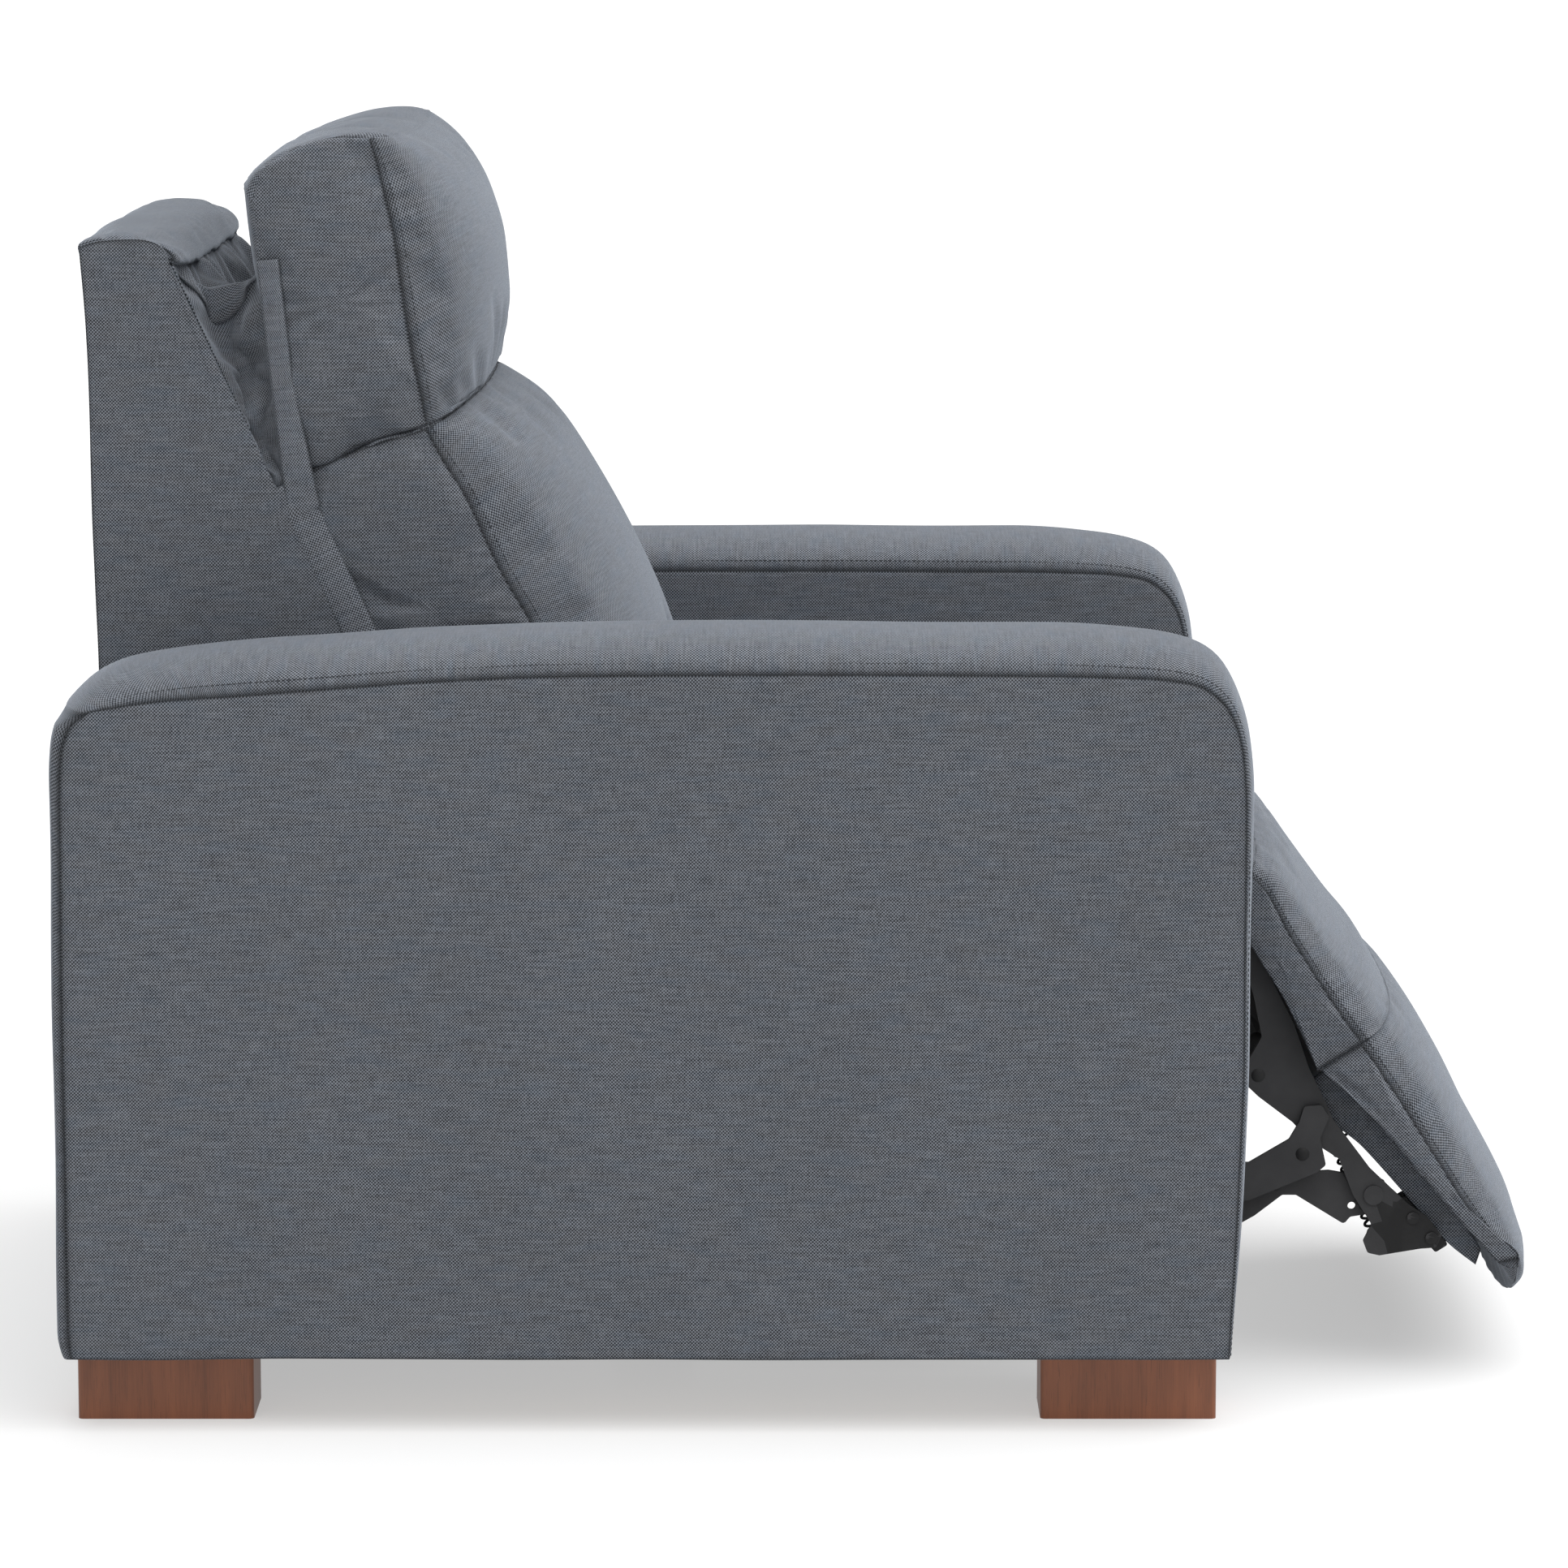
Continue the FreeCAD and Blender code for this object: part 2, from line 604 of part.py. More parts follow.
# Footrest, drawn about its pivot on the ottoman link as (out from the board, up the board)
foot_pivot = (S["foot_lean"], lift_forward + OTTOMAN_TO_PAD[0], lift_height + OTTOMAN_TO_PAD[1])
foot_turn = math.radians(num("foot_lean"))
knuckle_forward = INNER_TO_PAD[0] - OTTOMAN_TO_PAD[0]
knuckle_up = INNER_TO_PAD[1] - OTTOMAN_TO_PAD[1]
KNUCKLE = (knuckle_forward * math.cos(foot_turn) + knuckle_up * math.sin(foot_turn),
           -knuckle_forward * math.sin(foot_turn) + knuckle_up * math.cos(foot_turn))
BOARD_BOLTS = ((17, -33), (21, -55))
SPRING_HOOK = (-15.2, -35.0)
ANGLE_DEPTH = 25
bracket_corners = [
    (20, -64), (9, -58), (-10, -50), (-22, -45), (-29, -38), (-27, -28), (-14, -20), (-14, 8),
    (-8, 40), (-20, 66), (-24, 86), (-36, 118), (-40, 134), (-30, 146), (-8, 158), (4, 190), (9, 210),
    (9, 244), (12, 252), (23.5, 252), (23.5, 197), (19, 152), (10.5, 116), (8, 92), (5, 70), (9, 20),
    (15, -4), (20, -22), (27, -38), (29, -58)]
bracket_blank = plate("bracket_blank", [(-out, up) for out, up in bracket_corners],
                      -outer(LIFT_LAYER), gauge,
                      [(0, 0, pin_hole),
                       (-KNUCKLE[0], KNUCKLE[1], S["pin_radius"] + OPEN_PAD_CLEARANCE),
                       (27, 133, 4.0)], rounding=3.0)
lean(bracket_blank, *foot_pivot)
board_half = inner(OTTOMAN_LAYER) - S["layer_gap"]
board_angle = plate("board_angle", [(-20.5, -18), (-29.3, -70), (-17, -70), (-9, -18)], -board_half,
                    ANGLE_DEPTH, rounding=2.0)
bracket_parts = [bracket_blank, lean(board_angle, *foot_pivot)]
for index, (out, up) in enumerate(BOARD_BOLTS):
    y = fwd(foot_pivot[1] + (out * math.cos(foot_turn) - up * math.sin(foot_turn)))
    z = foot_pivot[2] + (out * math.sin(foot_turn) + up * math.cos(foot_turn))
    bolt_start = outer(LIFT_LAYER) + S["cap_height"]
    bracket_parts.append(rod("board_bolt_%d" % index, TURN_TO_X, -bolt_start, y, z,
                             S["pin_radius"], bolt_start - board_half + 1))
keep_pair(fuse("bracket_shape", bracket_parts), "footrest_bracket")

# Board behind the lower pad, and the channel that ties the brackets behind the upper pad
board = [(0, 104), (0, 80), (12, 37), (21, -16), (30, -72), (45, -112), (55, -97), (49.2, -60),
         (42.2, -12), (35.4, 40), (30, 80), (18, 106)]
board_blank = plate("board_blank", [(-out, up) for out, up in board], -board_half, board_half * 2,
                    rounding=2.0)
keep(lean(board_blank, *foot_pivot), "footrest_board")
channel_solid = leaning_block("channel_solid", foot_pivot, -inner(LIFT_LAYER), inner(LIFT_LAYER),
                              (10, 23.5), (204, 244))
channel_hollow = leaning_block("channel_hollow", foot_pivot, -inner(LIFT_LAYER) - 1,
                               inner(LIFT_LAYER) + 1, (9, 20.5), (207, 241))
keep(cut("channel_shape", channel_solid, channel_hollow), "pad_channel")

# Footrest pads: side faces end at the piped seam, the faces swell out between them
pad_reach = soft_half.number - 5


def make_upper_pad():
    start = same(16, 117)
    segments = [
        [same(22, 152), same(24, 186)],
        [same(24, 262)],
        [((28, 283), (30, 290)), ((42, 286), (56, 302))],
        [((53, 278), (80, 303)), ((57, 258), (91, 284))],
        [((55, 205), (93, 225)), ((54, 182), (96, 172))],
        [((56, 140), (100, 140)), ((57, 117), (98, 117))],
    ]
    return stand(cushion("upper_pad_form", pad_reach, start, segments), num("foot_lean"),
                 foot_pivot[1].number, foot_pivot[2].number)


def make_lower_pad():
    start = same(18, 111)
    segments = [
        [same(31, 80), same(36, 40)],
        [same(43, -12), same(50, -60)],
        [((56, -94), (57, -100)), ((64, -110), (45, -163))],
        [((66, -108), (68, -154)), ((64, -92), (85, -124))],
        [((59, -60), (97, -80)), ((58, -24), (99, -16))],
        [((58, 40), (106, 50)), ((56, 111), (99, 111))],
    ]
    return stand(cushion("lower_pad_form", pad_reach, start, segments), num("foot_lean"),
                 foot_pivot[1].number, foot_pivot[2].number)


keep(make_upper_pad(), "upper_pad")
keep(make_lower_pad(), "lower_pad")


# Coil springs of the footrest: one unbroken wire each, with a straight leg at both ends

def tangent_arc(start, tangent, end, sense):
    """Arc from start along the tangent to end, or the same arc run backwards."""
    chord = end - start
    length = chord.Length
    across = tangent - chord * (tangent.dot(chord) / length ** 2)
    angle = math.acos(min(1.0, tangent.dot(chord) / length))
    rise = length / 2 * math.tan(angle / 2)
    middle = start + chord * 0.5 + across.normalize() * rise
    if sense > 0:
        return Part.Arc(start, middle, end).toShape()
    return Part.Arc(end, middle, start).toShape()


def biarc(p0, t0, p1, t1):
    """Two arcs that join a start and an end point with given tangents."""
    span = p1 - p0
    both = t0 + t1
    a = both.dot(both) - 4
    b = -2 * span.dot(both)
    c = span.dot(span)
    root = math.sqrt(b * b - 4 * a * c)
    reach = max((-b - root) / (2 * a), (-b + root) / (2 * a))
    middle = (p0 + t0 * reach + p1 - t1 * reach) * 0.5
    return [tangent_arc(p0, t0, middle, 1), tangent_arc(p1, t1 * -1, middle, -1)]


COIL_TURNS = 12
COIL_TOP = (-2.5, 48.0)
COIL_LEG = 11.0


def make_coil_spring():
    thick = num("coil_wire")
    radius = num("coil_radius")
    centre_x = -(inner(OTTOMAN_LAYER).number - num("layer_gap") - radius - thick / 2)
    top = FreeCAD.Vector(centre_x, -COIL_TOP[0], COIL_TOP[1])
    bottom = FreeCAD.Vector(centre_x, -SPRING_HOOK[0], SPRING_HOOK[1])
    axis = (bottom - top).normalize()
    pitch = (bottom - top).Length / COIL_TURNS
    side = X_AXIS
    behind = FreeCAD.Vector(0, -axis.z, axis.y)
    slope = pitch / (2 * math.pi * radius)
    scale = 1 / math.sqrt(1 + slope ** 2)

    def on_coil(quarter):
        angle = quarter * math.pi / 2
        spoke = side * math.cos(angle) + behind * math.sin(angle)
        run = side * -math.sin(angle) + behind * math.cos(angle)
        return (top + spoke * radius + axis * (pitch * quarter / 4), (run + axis * slope) * scale)

    quarters = COIL_TURNS * 4 + 1
    first, first_run = on_coil(0)
    edges = [Part.LineSegment(first - first_run * COIL_LEG, first).toShape()]
    for quarter in range(quarters):
        edges += biarc(*on_coil(quarter), *on_coil(quarter + 1))
    last, last_run = on_coil(quarters)
    gap_to_plate = abs(last.x + inner(LIFT_LAYER).number)
    edges.append(Part.LineSegment(last, last + last_run * gap_to_plate).toShape())
    ring = Part.Circle(first - first_run * COIL_LEG, first_run, thick / 2).toShape()
    feature = doc.addObject("Part::Feature", "coil_spring")
    feature.Shape = Part.Wire(edges).makePipeShell([Part.Wire(ring)], True, False)
    print("coil spring: pitch %.2f, least gap between turns %.2f" % (pitch, pitch - thick))
    return stand(feature, num("foot_lean"), foot_pivot[1].number, foot_pivot[2].number)


keep_pair(make_coil_spring(), "footrest_spring")

# Seat: wooden frame, sinuous springs, cushion
seat_reach = soft_half - 3
seat_rail = S["seat_frame_rail"]
seat_top = S["seat_frame_bottom"] + S["seat_frame_thickness"]
ring_solid = between("seat_ring", -seat_reach, seat_reach, S["seat_rear"], S["seat_front"],
                     S["seat_frame_bottom"], seat_top)
ring_hole = between("seat_hole", -seat_reach + seat_rail, seat_reach - seat_rail,
                    S["seat_rear"] + seat_rail, S["seat_front"] - seat_rail,
                    S["seat_frame_bottom"] - 1, seat_top + 1)
keep(cut("seat_ring_shape", ring_solid, ring_hole), "seat_frame")


def sinuous(name, length, half_wave, turns, thick):
    """Zigzag spring wire in the plane of its frame, with rounded turns."""
    bend = length / turns / 2
    here = FreeCAD.Vector(0, 0, 0)
    lead = FreeCAD.Vector(half_wave, 0, 0)
    edges = [Part.LineSegment(here, lead).toShape()]
    side = 1
    for turn in range(turns):
        far = FreeCAD.Vector(lead.x, lead.y - bend * 2, 0)
        out = FreeCAD.Vector(lead.x + bend * side, lead.y - bend, 0)
        edges.append(Part.Arc(lead, out, far).toShape())
        side = -side
        reach = half_wave if turn < turns - 1 else 0
        lead = FreeCAD.Vector(reach * side, far.y, 0)
        edges.append(Part.LineSegment(far, lead).toShape())
    ring = Part.Circle(here, FreeCAD.Vector(1, 0, 0), thick / 2).toShape()
    feature = doc.addObject("Part::Feature", name)
    feature.Shape = Part.Wire(edges).makePipeShell([Part.Wire(ring)], True, False)
    return feature


SEAT_SPRINGS = 5
SEAT_SPRING_TURNS = 14
thick = num("spring_wire")
spring_height = seat_top.number + num("seat_gap") + thick / 2
seat_span = num("seat_front") - num("seat_rear") - num("seat_frame_rail")
seat_springs = []
for index in range(SEAT_SPRINGS):
    spring = sinuous("seat_spring_%d" % index, seat_span, 10, SEAT_SPRING_TURNS, thick)
    stand(spring, 0, num("seat_rear") + num("seat_frame_rail") / 2, spring_height)
    spring.Placement.Base.x = (index - (SEAT_SPRINGS - 1) / 2) * seat_reach.number * 2 / (SEAT_SPRINGS + 1)
    seat_springs.append(spring)
keep(group("seat_spring_set", seat_springs), "seat_springs")

cushion_low = seat_top.number + thick + num("seat_gap") * 2
cushion_high = cushion_low + num("seat_cushion_thickness")


def make_seat_cushion():
    rear = num("seat_rear") - 3
    front = num("seat_front")
    high = cushion_high
    crown = num("seat_crown")
    start = same(rear + 6, cushion_low)
    segments = [
        [((rear + 4, high - 25), (rear, high - 22))],
        [((rear + 8, high - 6), (rear + 6, high - 4)), ((rear + 24, high), (rear + 24, high + crown / 2))],
        [((rear + 260, high + 1), (rear + 260, high + crown)),
         ((front - 60, high), (front - 60, high + crown * 0.8))],
        [((front - 14, high - 10), (front - 12, high - 6)), ((front - 3, high - 34), (front, high - 32))],
        [same(front - 6, cushion_low)],
    ]
    return stand(cushion("seat_cushion_form", seat_reach.number, start, segments))


keep(make_seat_cushion(), "seat_cushion")

# Motors: a housing on the front cross tube, a screw channel and a slider block in it
MOTOR_REAR = FRONT_TUBE - 45
MOTOR_LONG = 90
CHANNEL_WIDTH = 30
CHANNEL_HEIGHT = 16
CHANNEL_WALL = 3
CHANNEL_RISE = 20
SLIDER_LONG = 30
SLIDER_HIGH = 22
SLIDER_GAP = 0.5
motor_low = tube_low + tube


def motor(name, x, ahead, reach):
    """Housing with a screw channel that runs forward or rearward from it."""
    half = S["motor_width"] / 2
    top = motor_low + S["motor_width"]
    box = between(name + "_box", x - half, x + half, MOTOR_REAR, MOTOR_REAR + MOTOR_LONG, motor_low, top)
    drum = rod(name + "_drum", UPRIGHT, x, fwd(MOTOR_REAR + MOTOR_LONG / 2), top, half * 0.8, 30)
    start = MOTOR_REAR + MOTOR_LONG if ahead else MOTOR_REAR - reach
    low = motor_low + CHANNEL_RISE
    half = CHANNEL_WIDTH / 2
    channel = between(name + "_channel", x - half, x + half, start, start + reach, low,
                      low + CHANNEL_HEIGHT)
    groove = between(name + "_groove", x - half + CHANNEL_WALL, x + half - CHANNEL_WALL,
                     start - 1, start + reach + 1, low + CHANNEL_WALL, low + CHANNEL_HEIGHT + 1)
    return fuse(name + "_shape", [box, drum, cut(name + "_track", channel, groove)])


def slider(name, x, rear):
    """Block that the screw drives along its channel."""
    half = CHANNEL_WIDTH / 2 - CHANNEL_WALL - SLIDER_GAP
    low = motor_low + CHANNEL_RISE + CHANNEL_WALL + SLIDER_GAP / 2
    return between(name, x - half, x + half, rear, rear + SLIDER_LONG, low, low + SLIDER_HIGH)


BACK_MOTOR_X = 120
keep(motor("legs_motor", 0, True, 200), "footrest_motor")
keep(slider("legs_slider", 0, 645), "footrest_motor_slider")
keep(motor("lean_motor", BACK_MOTOR_X, False, 170), "back_motor")
keep(slider("lean_slider", BACK_MOTOR_X, 440), "back_motor_slider")

# Control panel on the inner face of the right arm: a bezel with six spring push buttons
BUTTON_TRAVEL = 2.0
BUTTON_PROUD = 2.5
WELL_FLOOR = 3
BUTTON_NAMES = (("legs_down", "back_down", "head_down"), ("legs_up", "back_up", "head_up"))
button = S["button_size"]
gap = S["button_gap"]
bezel_gap = S["seat_gap"]
bezel_body = between("bezel_body", -inner_half - BEZEL_DEPTH, -inner_half, panel_rear + bezel_gap,
                     panel_front - bezel_gap, panel_low + bezel_gap, panel_high - bezel_gap)
bezel_face = between("bezel_face", -inner_half, -inner_half + BEZEL_LIP, panel_rear - 4,
                     panel_front + 4, panel_low - 4, panel_high + 4)
column_step = (panel_front - panel_rear) / len(BUTTON_NAMES[0])
row_step = (panel_high - panel_low) / len(BUTTON_NAMES)
well_back = -inner_half - BEZEL_DEPTH + WELL_FLOOR
wells = []
buttons = []
for row, names in enumerate(BUTTON_NAMES):
    for column, word in enumerate(names):
        rear = panel_rear + column_step * (column + 0.5) - button / 2
        low = panel_low + row_step * (row + 0.5) - button / 2
        wells.append(between("well_" + word, well_back, -inner_half + BEZEL_LIP + 1,
                             rear - gap, rear + button + gap, low - gap, low + button + gap))
        buttons.append(between("button_" + word, well_back + BUTTON_TRAVEL + 1,
                               -inner_half + BEZEL_LIP + BUTTON_PROUD, rear, rear + button,
                               low, low + button))
keep(cut("bezel_shape", fuse("bezel_solid", [bezel_body, bezel_face]), fuse("wells", wells)),
     "control_bezel")
for feature in buttons:
    keep(feature, feature.Name)

# Back: outer panels, top roll, steel frame with its recline brackets, springs, cushion
back_origin = (S["back_lean"], S["hinge_forward"], S["hinge_height"])
back_turn = math.radians(num("back_lean"))


def back_place(out, up):
    """Forward and height of a place given along the back's leaning line."""
    forward = num("hinge_forward") + out * math.cos(back_turn) - up * math.sin(back_turn)
    height = num("hinge_height") + out * math.sin(back_turn) + up * math.cos(back_turn)
    return forward, height


BORDER = 20
STEP_UP = 26
top_front = back_place(0, (num("outer_back_top") - num("hinge_height")) / math.cos(back_turn))
wedge_corners = [(S["rear_face"], S["outer_back_top"]), (top_front[0], S["outer_back_top"]),
                 back_place(0, STEP_UP), back_place(BORDER, STEP_UP), back_place(BORDER, -300),
                 (S["rear_face"], 410)]
wedge = plate("wedge_blank", [(fwd(u), z) for u, z in wedge_corners], -soft_half,
              soft_half - outer(INNER_LAYER), rounding=0)
rear_wall = between("rear_wall", -soft_half, soft_half, S["rear_face"], S["rear_face"] + S["back_panel"],
                    S["outer_back_bottom"], S["outer_back_top"])
keep(fuse("outer_back_shape", [rear_wall, wedge, mirror("wedge_twin", wedge)]), "outer_back")


def make_top_roll():
    low = num("outer_back_top") + num("seat_gap")
    start = same(20, low)
    segments = [
        [((8, low + 8), (3, low + 10)), ((20, low + 20), (19, low + 28))],
        [((32, low + 24), (34, low + 38)), ((44, low + 16), (48, low + 30))],
        [((54, low + 10), (57, low + 14)), same(63, low)],
    ]
    return stand(cushion("top_roll_form", soft_half.number, start, segments))


keep(make_top_roll(), "back_top_roll")

STILE_OUT = (-44, -24)
BRACKET_ROOM = 85
least_low = (num("back_height") + BRACKET_ROOM - num("hinge_height")) / math.cos(back_turn)
STILE_LOW = max(-285, least_low)
STILE_HIGH = 185
MIDDLE_RAIL = -40
RAIL_TALL = 30
STILE_WIDTH = 38
stile_outer = inner(INNER_LAYER)
stile_inner = stile_outer - STILE_WIDTH
frame_parts = []
for word, x0, x1 in (("right", -stile_outer, -stile_inner), ("left", stile_inner, stile_outer)):
    frame_parts.append(leaning_block("stile_" + word, back_origin, x0, x1, STILE_OUT,
                                     (STILE_LOW, STILE_HIGH)))
for index, low in enumerate((STILE_LOW, MIDDLE_RAIL, STILE_HIGH - RAIL_TALL)):
    frame_parts.append(leaning_block("back_rail_%d" % index, back_origin, -stile_inner, stile_inner,
                                     STILE_OUT, (low, low + RAIL_TALL)))
stile_foot = back_place(sum(STILE_OUT) / 2, STILE_LOW)
BRACKET_EYE = [(-20, 15), (-19, -10), (-13, -19), (13, -19), (22, 0)]
BRACKET_ARM = [(19.3, -3.7), (9.3, 12.3), (-26.7, 84.3), (-46.7, 74.3), (-16.7, -5.7)]
bracket_places = [(fwd(back_forward + forward), back_height + up) for forward, up in BRACKET_EYE]
bracket_places += [(fwd(stile_foot[0] + forward), stile_foot[1] + up) for forward, up in BRACKET_ARM]
back_bracket = plate("back_bracket", bracket_places, -outer(INNER_LAYER),
                     gauge, [(fwd(back_forward), back_height, pin_hole)])
rod_hole = S["hinge_rod_radius"] + S["pin_clearance"]
lug = plate("hinge_lug", [(24, -12), (-8, -12), (-12, 0), (-8, 12), (24, 12)], -stile_inner - 12, 8,
            [(0, 0, rod_hole)], rounding=3.0)
lean(lug, *back_origin)
frame_parts += [back_bracket, mirror("back_bracket_twin", back_bracket), lug, mirror("hinge_lug_twin", lug)]
keep(fuse("back_frame_shape", frame_parts), "back_frame")

BACK_SPRINGS = 4
BACK_SPRING_TURNS = 8
BACK_SPRING_STEP = 90
back_spring_out = STILE_OUT[1] + num("seat_gap") + thick / 2
spring_start = back_place(back_spring_out, STILE_LOW + RAIL_TALL / 2)
back_springs = []
for index in range(BACK_SPRINGS):
    spring = sinuous("back_spring_%d" % index, MIDDLE_RAIL - STILE_LOW, 12, BACK_SPRING_TURNS, thick)
    base = FreeCAD.Vector((index - (BACK_SPRINGS - 1) / 2) * BACK_SPRING_STEP,
                          fwd(spring_start[0]).number, spring_start[1])
    turn = FreeCAD.Rotation(X_AXIS, -90 - num("back_lean"))
    spring.Placement = FreeCAD.Placement(base, turn)
    back_springs.append(spring)
keep(group("back_spring_set", back_springs), "back_springs")


def make_lumbar_face():
    low = cushion_high + 1
    crown = num("seat_crown")
    rear_out = BORDER + 2
    at_hinge = back_place(rear_out, 0)
    rear_foot = at_hinge[0] + (at_hinge[1] - low) * math.tan(back_turn)
    start = ((rear_foot, low), (rear_foot - crown * math.tan(back_turn), low + crown))
    segments = [
        [same(*back_place(rear_out, STEP_UP))],
        [((232, 746), (246, 752)), ((284, 762), (320, 786))],
        [((311, 719), (372, 752)), ((341, 657), (415, 690))],
        [((372, 602), (450, 625)), ((388, 570), (470, 575))],
        [((402, 540), (478, 540 + crown / 2)), ((406, low), (468, low + crown))],
    ]
    return stand(cushion("lumbar_form", soft_half.number, start, segments))


core_out = back_spring_out + thick / 2 + num("seat_gap")
lumbar_core = leaning_block("lumbar_core", back_origin, -stile_inner, stile_inner,
                            (core_out, BORDER + 4), (-190, -20))
keep(fuse("lumbar_shape", [make_lumbar_face(), lumbar_core]), "lumbar_cushion")

# Headrest hinge rod and motor on the back frame
rod_reach = stile_inner + 14
keep(rod("hinge_rod_shape", TURN_TO_X, -rod_reach, fwd(S["hinge_forward"]), S["hinge_height"],
         S["hinge_rod_radius"], rod_reach * 2), "headrest_hinge_rod")
half_motor = S["motor_width"] / 2
head_box = leaning_block("head_motor_box", back_origin, -half_motor, half_motor,
                         (-100, STILE_OUT[0]), (MIDDLE_RAIL - 2, MIDDLE_RAIL + RAIL_TALL))
head_screw = leaning_block("head_motor_screw", back_origin, -14, 14, (-88, -62),
                           (MIDDLE_RAIL + RAIL_TALL, MIDDLE_RAIL + RAIL_TALL + 100))
keep(fuse("head_motor_shape", [head_box, head_screw]), "headrest_motor")

# Headrest: steel panel with two arms on the hinge rod, and its cushion
head_origin = (S["head_lean"], S["hinge_forward"], S["hinge_height"])
arm_x = -stile_inner + 10
HEAD_ARM = [(17, 14), (10, -9), (-4, -11), (-11, -4), (-9, 10), (2, 20), (2, 52), (17, 52)]
head_arm = plate("head_arm", HEAD_ARM,
                 arm_x, 8, [(0, 0, rod_hole)], rounding=2.0)
lean(head_arm, *head_origin)
HEAD_PANEL_REAR = -9
head_panel = leaning_block("head_panel", head_origin, arm_x, -arm_x, (HEAD_PANEL_REAR, -num("seat_gap")),
                           (44, 262))
keep(fuse("head_frame_shape", [head_panel, head_arm, mirror("head_arm_twin", head_arm)]),
     "headrest_frame")


def make_headrest_cushion():
    start = same(0, 37)
    segments = [
        [same(0, 255)],
        [((8, 279), (10, 284)), ((32, 291), (44, 296))],
        [((66, 298), (90, 302)), ((97, 290), (136, 295))],
        [((105, 215), (175, 237)), ((108, 141), (179, 160))],
        [((111, 100), (172, 114)), ((115, 62), (158, 84))],
        [((66, 52), (82, 60)), same(22, 39)],
    ]
    return stand(cushion("headrest_form", soft_half.number, start, segments), num("head_lean"),
                 num("hinge_forward"), num("hinge_height"))


keep(make_headrest_cushion(), "headrest_cushion")

# Checks, then one STEP file per sub-part
doc.recompute()
for feature in doc.Objects:
    if "Invalid" in feature.State or "Error" in feature.State:
        raise RuntimeError("failed feature: %s %s" % (feature.Name, feature.State))
for feature in nodes:
    if feature.Shape.isNull() or not feature.Shape.isValid() or not feature.Shape.Solids:
        raise RuntimeError("bad shape: " + feature.Label)
os.makedirs("parts", exist_ok=True)
for feature in nodes:
    feature.Shape.exportStep("parts/%s.step" % feature.Label)
print("%d sub-parts written" % len(nodes))
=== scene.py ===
import json
import math

import bmesh
import bpy
import numpy as np
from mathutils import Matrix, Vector
from mathutils.noise import noise


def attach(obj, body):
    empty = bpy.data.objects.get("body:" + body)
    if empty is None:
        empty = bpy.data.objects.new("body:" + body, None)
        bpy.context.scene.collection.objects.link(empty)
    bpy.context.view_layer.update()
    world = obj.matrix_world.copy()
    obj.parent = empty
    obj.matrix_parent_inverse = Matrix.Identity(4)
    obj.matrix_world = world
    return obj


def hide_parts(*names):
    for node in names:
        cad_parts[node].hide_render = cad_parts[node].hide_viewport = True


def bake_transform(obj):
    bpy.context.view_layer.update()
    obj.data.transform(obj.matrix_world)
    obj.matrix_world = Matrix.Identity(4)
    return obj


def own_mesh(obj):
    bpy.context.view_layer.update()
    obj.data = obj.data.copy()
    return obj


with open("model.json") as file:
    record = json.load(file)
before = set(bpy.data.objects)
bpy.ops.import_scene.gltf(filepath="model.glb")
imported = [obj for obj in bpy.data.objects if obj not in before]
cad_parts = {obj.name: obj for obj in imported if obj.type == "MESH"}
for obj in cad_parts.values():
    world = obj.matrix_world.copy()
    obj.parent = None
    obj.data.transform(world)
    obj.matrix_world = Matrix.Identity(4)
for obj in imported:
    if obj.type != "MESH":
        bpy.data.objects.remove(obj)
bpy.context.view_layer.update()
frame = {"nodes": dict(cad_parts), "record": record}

# Power recliner chair. Lengths in the tables below are millimetres: forward from the rear of the
# arms and up from the floor. Meshes are made in metres, with the chair facing -Y.
MM = 0.001
HALF_LENGTH = 591.0
scene = bpy.context.scene
nodes = frame["nodes"]


def spot(x, forward, up):
    """A point of the chair in metres."""
    return Vector((x, HALF_LENGTH - forward, up)) * MM


def add_object(name, data):
    """An object of the scene that shows the data."""
    item = bpy.data.objects.new(name, data)
    scene.collection.objects.link(item)
    return item


def add_mesh(name, points, edges, faces):
    """A smoothly shaded mesh object of the scene."""
    mesh = bpy.data.meshes.new(name)
    mesh.from_pydata(points, edges, faces)
    mesh.shade_smooth()
    return add_object(name, mesh)


class Nodes:
    """A tree whose nodes are added by kind, with inputs given by name."""

    def __init__(self, tree):
        self.tree = tree

    def add(self, kind, inputs=None, **settings):
        node = self.tree.nodes.new(kind)
        for key, value in settings.items():
            setattr(node, key, value)
        for key, value in (inputs or {}).items():
            self.give(node, key, value)
        return node

    def give(self, node, key, value):
        if isinstance(value, bpy.types.NodeSocket):
            self.tree.links.new(value, node.inputs[key])
        else:
            node.inputs[key].default_value = value

    def math(self, operation, first, second=0.0, third=0.0, clamp=False):
        node = self.add("ShaderNodeMath", {0: first, 1: second, 2: third}, operation=operation)
        node.use_clamp = clamp
        return node.outputs[0]


# Materials

